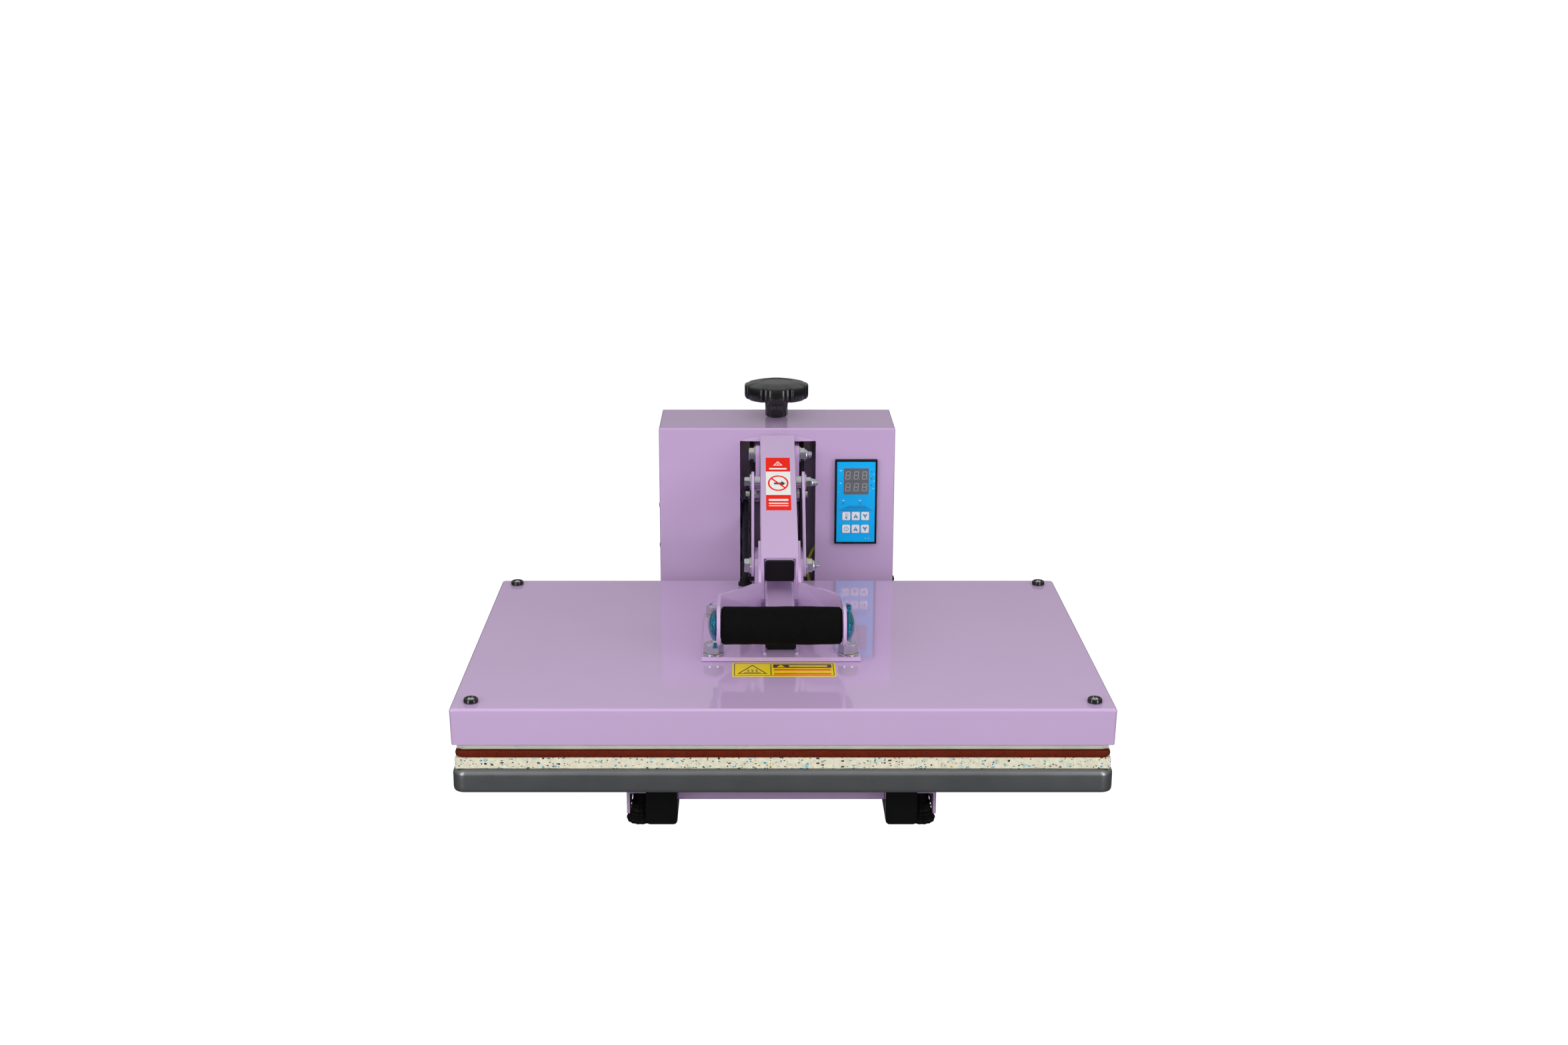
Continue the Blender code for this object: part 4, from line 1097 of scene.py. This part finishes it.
def channel_label():
    """Sticker on the channel in red, white and red: a triangle, a barred ring and plain lines."""
    place = lambda shell: moved(shell, CHANNEL_REAR, "Z", CHANNEL_SLOPE)
    top, bottom, half = -51.0, -161.0, 13.3
    reds = [bar(-half, top - 30, half, top, 0.02, 0.14), bar(-half, bottom, half, bottom + 31, 0.02, 0.14)]
    piece("channel_label_red", [place(s) for s in reds], "handle", LABEL_RED)
    piece("channel_label_white", [place(bar(-half, bottom + 31, half, top - 30, 0.02, 0.13))], "handle",
          LABEL_WHITE)
    peak = lambda size, y: [(-size, y - size * 0.58), (size, y - size * 0.58), (0, y + size * 1.15)]
    whites = [band(peak(5.2, top - 14), peak(3.3, top - 13.8), 0.13, 0.2),
              bar(-0.4, top - 15.6, 0.4, top - 12.0, 0.13, 0.2),
              bar(-9.5, top - 25.6, 9.5, top - 22.4, 0.13, 0.2),
              bar(-10.4, bottom + 18.8, 10.4, bottom + 22.6, 0.13, 0.2),
              bar(-10.4, bottom + 12.6, 10.4, bottom + 14.8, 0.13, 0.2),
              bar(-10.4, bottom + 8.2, 10.4, bottom + 9.6, 0.13, 0.2)]
    piece("channel_label_marks", [place(s) for s in whites], "handle", LABEL_WHITE)
    middle_y = (top - 30 + bottom + 31) / 2
    oval = lambda r: [(r * math.cos(a), middle_y + 1.45 * r * math.sin(a))
                      for a in np.linspace(0, TAU, 64, endpoint=False)]
    slash = [(-8.4, middle_y + 9.6), (-6.9, middle_y + 11.0), (8.4, middle_y - 9.6), (6.9, middle_y - 11.0)]
    piece("channel_label_ring", [place(band(oval(11.2), oval(9.4), 0.14, 0.22)),
                                 place(prism(slash, 0.15, 0.23))],
          "handle", LABEL_RED)
    arrow = [(-4.6, middle_y + 1.2), (3.4, middle_y + 1.2), (3.4, middle_y + 4.6), (7.6, middle_y - 0.8),
             (3.4, middle_y - 6.0), (3.4, middle_y - 2.6), (-4.6, middle_y - 2.6)]
    piece("channel_label_arrow", [place(prism(arrow, 0.13, 0.17))], "handle", BLACK_PRINT_AND_SHADE)


def knob():
    """Hand knob: a turned profile whose radius dips in pairs of narrow flutes between eight wide lobes.

    The dips fade in over the brim and out over the rim, and the stem has twelve shallow ribs of its own.
    """
    low, high = corners("pressure_knob")
    at = middle("pressure_knob")[0]
    brim, top = KNOB_BRIM, high[2]

    def lobes(angle, height):
        turn = (angle * KNOB_LOBES / TAU) % 1 - 0.5
        flute = np.exp(-((np.abs(turn) - 0.085) / 0.045) ** 2) * 0.066 + np.exp(-(turn / 0.15) ** 2) * 0.022
        grip = np.clip((height - KNOB_STEM_TOP) / 4, 0, 1) * np.clip((top + 0.6 - height) / 3.2, 0, 1)
        stem = np.clip((KNOB_STEM_TOP - height) / 4, 0, 1)
        ribs = 0.035 * (np.cos(angle * 12) - 1) * stem
        return 1 - flute * grip + ribs

    profile = [(0, low[2]), (12.4, low[2]), (12.9, low[2] + 0.5), (13.0, KNOB_STEM_TOP), (13.4, 327),
               (15.5, brim - 0.6), (22, brim), (33, brim), (35.2, brim + 0.5), (36.3, brim + 1.8),
               (36.9, brim + 4), (36.9, top - 5.0), (36.6, top - 4.1), (35.8, top - 3.5),
               (34.0, top - 3.0), (30.0, top - 1.9), (24.5, top - 0.7), (19.6, top + 0.2),
               (18.8, top + 0.1), (18.2, top - 0.6), (17.2, top - 0.8), (9, top - 0.5), (0.5, top - 0.4)]
    piece("hand_knob", [moved(spun(profile, 256, lobes), (at[0], at[1], 0))], "knob", BLACK_KNOB,
          ("pressure_knob",), sharp=45, flats=False)


# ---------------------------------------------------------------- control box and controller

def control_box():
    """Folded box, carved for its slot, window, screw and switch, with its back cover and screws."""
    low, high = corners("control_box")
    centre, half = middle("control_box")
    height = high[2] - low[2]
    bend = 2.0
    outer = [(half[0], half[1], bend, 0.0)]
    outer += [(half[0] - bend * (1 - math.cos(t)), half[1] - bend * (1 - math.cos(t)), bend,
               height + bend * (math.sin(t) - 1))
              for t in np.linspace(0, np.pi / 2, 6)]
    shell = piece("control_box_shell", [moved(stacked(outer, 6), (centre[0], centre[1], low[2]))], "root",
                  LILAC, ("control_box",))
    sheet = 2.0
    front = low[1]
    hollow = stacked([(half[0] - sheet, half[1] + 3, 0.5, -5),
                      (half[0] - sheet, half[1] + 3, 0.5, height - sheet)], 3)
    slot = ring(SLOT_HALF, (SLOT_TOP - SLOT_LOW) / 2, 0.8, 3)
    window = ring(22.5, 45.75, 0.5, 3)
    rocker = ring(7.5, 13.5, 1.0, 3)
    carved(shell, [moved(hollow, (centre[0], centre[1] + 5, low[2])),
                   moved(prism(slot, -6, 5), (SLOT_X, front, (SLOT_TOP + SLOT_LOW) / 2), "-Y"),
                   moved(prism(window, -6, 5), (WINDOW_AT[0], front, WINDOW_AT[1]), "-Y"),
                   moved(spun([(0, -8), (7, -8), (7, 4), (0, 4)], 32), (0, SCREW_Y, high[2])),
                   moved(prism(rocker, -6, 5), (high[0], SWITCH_Y, SWITCH_Z), "side")])
    slot_lip(front)
    rounded_copy("box_back_cover", LILAC, 0.8)
    rounded_copy("power_inlet", BLACK_PLASTIC, 0.5)
    rounded_copy("solid_state_relay", BLACK_PLASTIC, 1.2, 3)
    rounded_copy("screw_bush", ZINC, 0.5)
    for side, sign in SIDES:
        # the posts carry the near-black painted shade finish, not the lilac they are painted in
        rounded_copy("post_" + side, SHADED_INSIDE_PAINT, 0.6)
        for i, z in enumerate((212, 164)):
            place = (sign * half[0], 225, z)
            head = cross_head(3.2, 0.0, 2.0)
            piece("box_screw_%s_%d" % (side, i), [moved(head, place, "X" if sign > 0 else "-X")], "root",
                  BLACK_KNOB, flats=False)
        for i, z in enumerate((96, 290)):
            place = (sign * 122, BACK_Y, z)
            piece("back_screw_%s_%d" % (side, i), [moved(cross_head(3.4, -0.1, 2.1), place, "Y")], "root",
                  STEEL_SCREW, flats=False)
    # painted shade: the vent slots are not cut; flat black plates on the back cover stand in for the shade inside
    # them
    vent = prism(ring(1.5, 14, 1.5, 5), -0.4, 0.12)
    vents = [moved(vent, (x, BACK_Y, 200), "Y") for x in range(-48, 49, 8)]
    piece("back_vents_painted_shade", vents, "root", BLACK_PRINT_AND_SHADE)
    switch()
    inlet()
    wiring()


def slot_lip(front):
    """Formed lip over the slot: a shallow lens that stands out most along its lower edge."""
    t = np.linspace(-1, 1, 49)[None, :]
    s = np.linspace(0, 1, 9)[:, None]
    x = SLOT_X + 41 * t + 0 * s
    rise = 6.4 * (1 - t ** 2) ** 0.8
    z = SLOT_TOP + 0.1 + rise * s
    out = 2.6 * np.sqrt(np.clip(1 - t ** 2, 0, 1)) * (1 - s) ** 0.8
    skin = np.stack([x, front - 0.05 - out, z], axis=-1)
    back = skin.copy()
    back[..., 1] = front + 0.6
    points = np.concatenate([skin, back[::-1]])
    rows = len(points)
    faces = grid_faces(rows, 49, False, False, False)
    index = np.arange(rows * 49).reshape(rows, 49)
    faces += np.stack([index[0, :-1], index[0, 1:], index[-1, 1:], index[-1, :-1]], axis=-1).tolist()
    faces += [index[:, 0].tolist(), index[:, -1][::-1].tolist()]
    piece("slot_lip", [(points, faces)], "root", LILAC, flats=False)


def switch():
    """Rocker with a marked face in a thin frame on the box's right side."""
    low, high = corners("power_switch")
    rounded_copy("power_switch", BLACK_PLASTIC, 0.6, 3)
    wall = corners("control_box")[1][0]
    centre_y = (low[1] + high[1]) / 2
    frame_shell = band(ring(9.5, 15.2, 1.6), ring(7.1, 12.6, 0.8), 0.05, 1.5)
    piece("switch_frame", [moved(frame_shell, (wall, centre_y, SWITCH_Z), "side")], "root", BLACK_PLASTIC)


def inlet():
    """Three flat pins inside a rounded frame."""
    low, high = corners("power_inlet")
    centre = (low + high) / 2
    pins = [moved(stacked(eased(1.0, 2.2, 0.4, -14, -2, 0.1, 0.4)), (centre[0] + dx, 299, centre[2] + dz),
                  "Y")
            for dx, dz in ((-5.5, 2.0), (5.5, 2.0), (0, -3.2))]
    piece("inlet_pins", pins, "root", STEEL_SCREW)
    rim = band(ring(16.5, 13.5, 3), ring(12.0, 8.8, 2.2), -0.9, 0.5)
    piece("inlet_rim", [moved(rim, (centre[0], BACK_Y + 0.5, centre[2]), "Y")], "root", BLACK_PLASTIC)


def wiring():
    """Leads inside the box: blue ones on the left, the earth lead low on the right."""
    blue = [[(-80, 252, 100), (-64, 236, 140), (-40, 214, 196), (-46, 216, 240), (-70, 236, 268)],
            [(-90, 250, 96), (-60, 222, 128), (-38, 208, 160), (-58, 216, 196), (-100, 240, 210)],
            [(-60, 250, 98), (-42, 212, 112), (-36, 208, 122), (-60, 220, 136)]]
    for i, route in enumerate(blue):
        piece("blue_lead_%d" % i, [tube(smooth_path(route, 70), 1.7, 12)], "root", WIRE_BLUE, flats=False)
    earth = [(60, 250, 90), (44, 216, 110), (36, 206, 138), (42, 210, 162), (62, 230, 176), (86, 246, 190)]
    piece("earth_lead", [tube(smooth_path(earth, 80), 1.9, 12)], "root", WIRE_YELLOW, flats=False)


def controller():
    """Panel controller face: display with unlit digits, lamps, stripes and six keys."""
    rounded_copy("controller_case", BLACK_PLASTIC, 0.5)
    rounded_copy("controller_face", PANEL_BLUE, 0.15)
    low = corners("controller_face")[0]
    face = low[1]
    onto = lambda shell, x=0.0, z=0.0: moved(shell, (x, face, z), "-Y")
    window = prism(ring(14.2, 15.3, 0.6, 4), -0.05, 0.25)
    piece("display_window", [onto(window, 90.1, 248.6)], "root", WINDOW_GREY)
    piece("display_digits", [onto(s, 90.1 + dx, z) for dx in (-9.4, 0, 9.4) for z in (255.6, 241.8)
                             for s in digit()],
          "root", SEGMENT_GREY)
    lamps = [(107.5, 260), (107.5, 252), (107.5, 244), (75.6, 222.6), (94.8, 222.6)]
    piece("panel_lamps", [onto(spun([(0.0, 0.0), (0.95, 0.0), (0.95, 0.25), (0.7, 0.5), (0.2, 0.6)], 24), x,
                               z) for x, z in lamps],
          "root", WINDOW_GREY, flats=False)
    ticks = [(72.4, 261, 2.2), (72.4, 246.5, 2.2), (75.6, 226.2, 2.6), (94.8, 226.2, 2.6), (110.3, 257, 0.9),
             (110.3, 249, 0.9), (109.8, 240.2, 0.9), (69.6, 236.5, 0.5), (101.5, 181.5, 1.0), (105.0, 181.5, 1.0)]
    piece("panel_ticks", [onto(bar(-w / 2, -0.35, w / 2, 0.35, 0.0, 0.06), x, z) for x, z, w in ticks],
          "root", KEY_WHITE)
    stripes = []
    for i in range(4):
        share = i / 3
        left, right, z = 70.9 + 9.2 * share, 109.3 - 8.4 * share, 214.5 + 1.66 * i
        stripes.append(onto(bar(left - 90, -0.28, right - 90, 0.28, 0.0, 0.06), 90, z))
    piece("panel_stripes", stripes, "root", STRIPE_BLUE)
    up = [(-2.6, -2.2), (0, 2.6), (2.6, -2.2), (1.5, -2.2), (0, 0.9), (-1.5, -2.2)]
    lower = [(-2.6, -2.2), (0, 0.1), (2.6, -2.2), (1.7, -2.9), (0, -1.5), (-1.7, -2.9)]
    for node in [n for n in BODY if n.endswith("_key")]:
        klow, khigh = corners(node)
        centre, half = (klow + khigh) / 2, (khigh - klow) / 2
        proud = face - klow[1]
        cap = stacked(eased(half[0], half[2], 0.9, -1.6, proud, 0.1, 0.35, 4))
        at = (centre[0], face, centre[2])
        piece(node + "_cap", [moved(cap, at, "-Y")], BODY[node], KEY_WHITE, (node,))
        if node.endswith("set_key"):
            marks = thermometer() if node.startswith("temperature") else clock()
            marks = [(np.asarray(p) + np.array([0, 0, proud]), f) for p, f in marks]
        else:
            flip = 1 if "_up_" in node else -1
            marks = [prism([(x, flip * (y + 0.2)) for x, y in shape], proud, proud + 0.05)
                     for shape in (up, lower)]
        piece(node + "_icon", [moved(m, at, "-Y") for m in marks], BODY[node], ICON_BLUE)


def digit():
    """Seven segments of a figure eight and its point, each a lozenge bar, leaning slightly."""
    w, h, t, lean = 2.35, 4.3, 0.48, 0.10
    shells = []

    def bar_between(a, b):
        (x0, y0), (x1, y1) = a, b
        if y0 == y1:
            shape = [(x0, y0), (x0 + t, y0 + t), (x1 - t, y1 + t), (x1, y1), (x1 - t, y1 - t),
                     (x0 + t, y0 - t)]
        else:
            shape = [(x0, y0), (x0 + t, y0 + t), (x1 + t, y1 - t), (x1, y1), (x1 - t, y1 - t),
                     (x0 - t, y0 + t)]
        shells.append(prism([(x + lean * y, y) for x, y in shape], 0.2, 0.3))

    for y in (-h, 0.0, h):
        bar_between((-w, y), (w, y))
    for x in (-w, w):
        bar_between((x, -h), (x, 0.0))
        bar_between((x, 0.0), (x, h))
    shells.append(prism([(w + 1.3 + 0.5 * math.cos(a), -h + 0.5 * math.sin(a))
                         for a in np.linspace(0, TAU, 12, endpoint=False)], 0.2, 0.3))
    return shells


def thermometer():
    """A ring-shaped stem over a round bulb, with three marks beside it."""
    bulb = [(1.2 * math.cos(a), -1.9 + 1.2 * math.sin(a)) for a in np.linspace(0, TAU, 24, endpoint=False)]
    stem = band(ring(0.85, 2.3, 0.85, 4), ring(0.45, 1.9, 0.45, 4), 0, 0.05)
    points, faces = stem
    marks = [bar(1.4, y, 2.4, y + 0.35, 0, 0.05) for y in (-0.2, 1.0, 2.2)]
    return [prism(bulb, 0, 0.05), (points + np.array([0, 0.9, 0]), faces)] + marks


def clock():
    """A ring with two hands."""
    circle = lambda r: [(r * math.cos(a), r * math.sin(a)) for a in np.linspace(0, TAU, 32, endpoint=False)]
    return [band(circle(2.7), circle(2.15), 0, 0.05), bar(-0.2, -0.2, 0.2, 1.7, 0, 0.05),
            bar(-0.2, -0.2, 1.3, 0.2, 0, 0.05)]


# ---------------------------------------------------------------- cover sticker

def cover_label():
    """Yellow sticker before the mounting plate: framed triangle, then a black bar over two orange lines."""
    top = corners("platen_cover")[1][2]
    x0, x1, y0, y1 = -47.5, 52.5, -210.9, -170.4
    centre = ((x0 + x1) / 2, (y0 + y1) / 2, top)
    half_x, half_y = (x1 - x0) / 2, (y1 - y0) / 2
    put = lambda shell: moved(shell, centre)
    piece("cover_label", [put(prism(ring(half_x, half_y, 2.2), 0.02, 0.16))], "arm", LABEL_YELLOW)
    split = -half_x + 37
    frame_line = [band(ring(half_x - 1.8, half_y - 2.6, 1.0), ring(half_x - 2.6, half_y - 3.6, 0.6), 0.15,
                       0.22),
                  bar(split, -half_y + 3, split + 0.8, half_y - 3, 0.15, 0.22)]
    bolt_x = -half_x + 19.5
    tri = lambda s, drop=0.0: [(bolt_x - 14.5 * s, -12.6 * s - drop), (bolt_x + 14.5 * s, -12.6 * s - drop),
                               (bolt_x, 13.4 * s - drop)]
    waves = []
    for k in (-4, 0, 4):
        x = np.linspace(-7.2, 0.0, 14)
        left = [(bolt_x + k - 0.55 + 0.8 * math.sin(v * 1.7), v) for v in x]
        right = [(bolt_x + k + 0.55 + 0.8 * math.sin(v * 1.7), v) for v in x[::-1]]
        waves.append(prism(left + right, 0.15, 0.22))
    base_line = bar(bolt_x - 8, -10.2, bolt_x + 8, -8.8, 0.15, 0.22)
    black = frame_line + [band(tri(1.0), tri(0.84, 0.6), 0.15, 0.22), base_line] + waves
    black.append(bar(split + 2.6, half_y - 15.5, half_x - 4.0, half_y - 5.2, 0.15, 0.22))
    piece("cover_label_black", [put(s) for s in black], "arm", BLACK_PRINT_AND_SHADE)
    lines = [bar(split + 3.4, -3.4, half_x - 4.8, 1.6, 0.15, 0.22),
             bar(split + 3.4, -half_y + 5.0, half_x - 4.8, -half_y + 10.0, 0.15, 0.22)]
    piece("cover_label_orange", [put(s) for s in lines], "arm", LABEL_ORANGE)
    notch = [(split + 6, half_y - 13.5), (split + 14, half_y - 13.5), (split + 10, half_y - 7)]
    marks = [prism(notch, 0.21, 0.26), bar(split + 18, half_y - 12.5, half_x - 8, half_y - 8.4, 0.21, 0.26)]
    piece("cover_label_marks", [put(s) for s in marks], "arm", LABEL_YELLOW)


make_camera()
make_room()
make_floor(floor_finish())
base()
lower_platen()
upper_platen()
cover_label()
arm()
linkage()
handle()
knob()
control_box()
controller()
for node, obj in frame["nodes"].items():
    obj.material_slots[0].material = BY_SLOT[next(p["material_slot"] for p in frame["record"]["subparts"]
                                                  if p["node"] == node)]
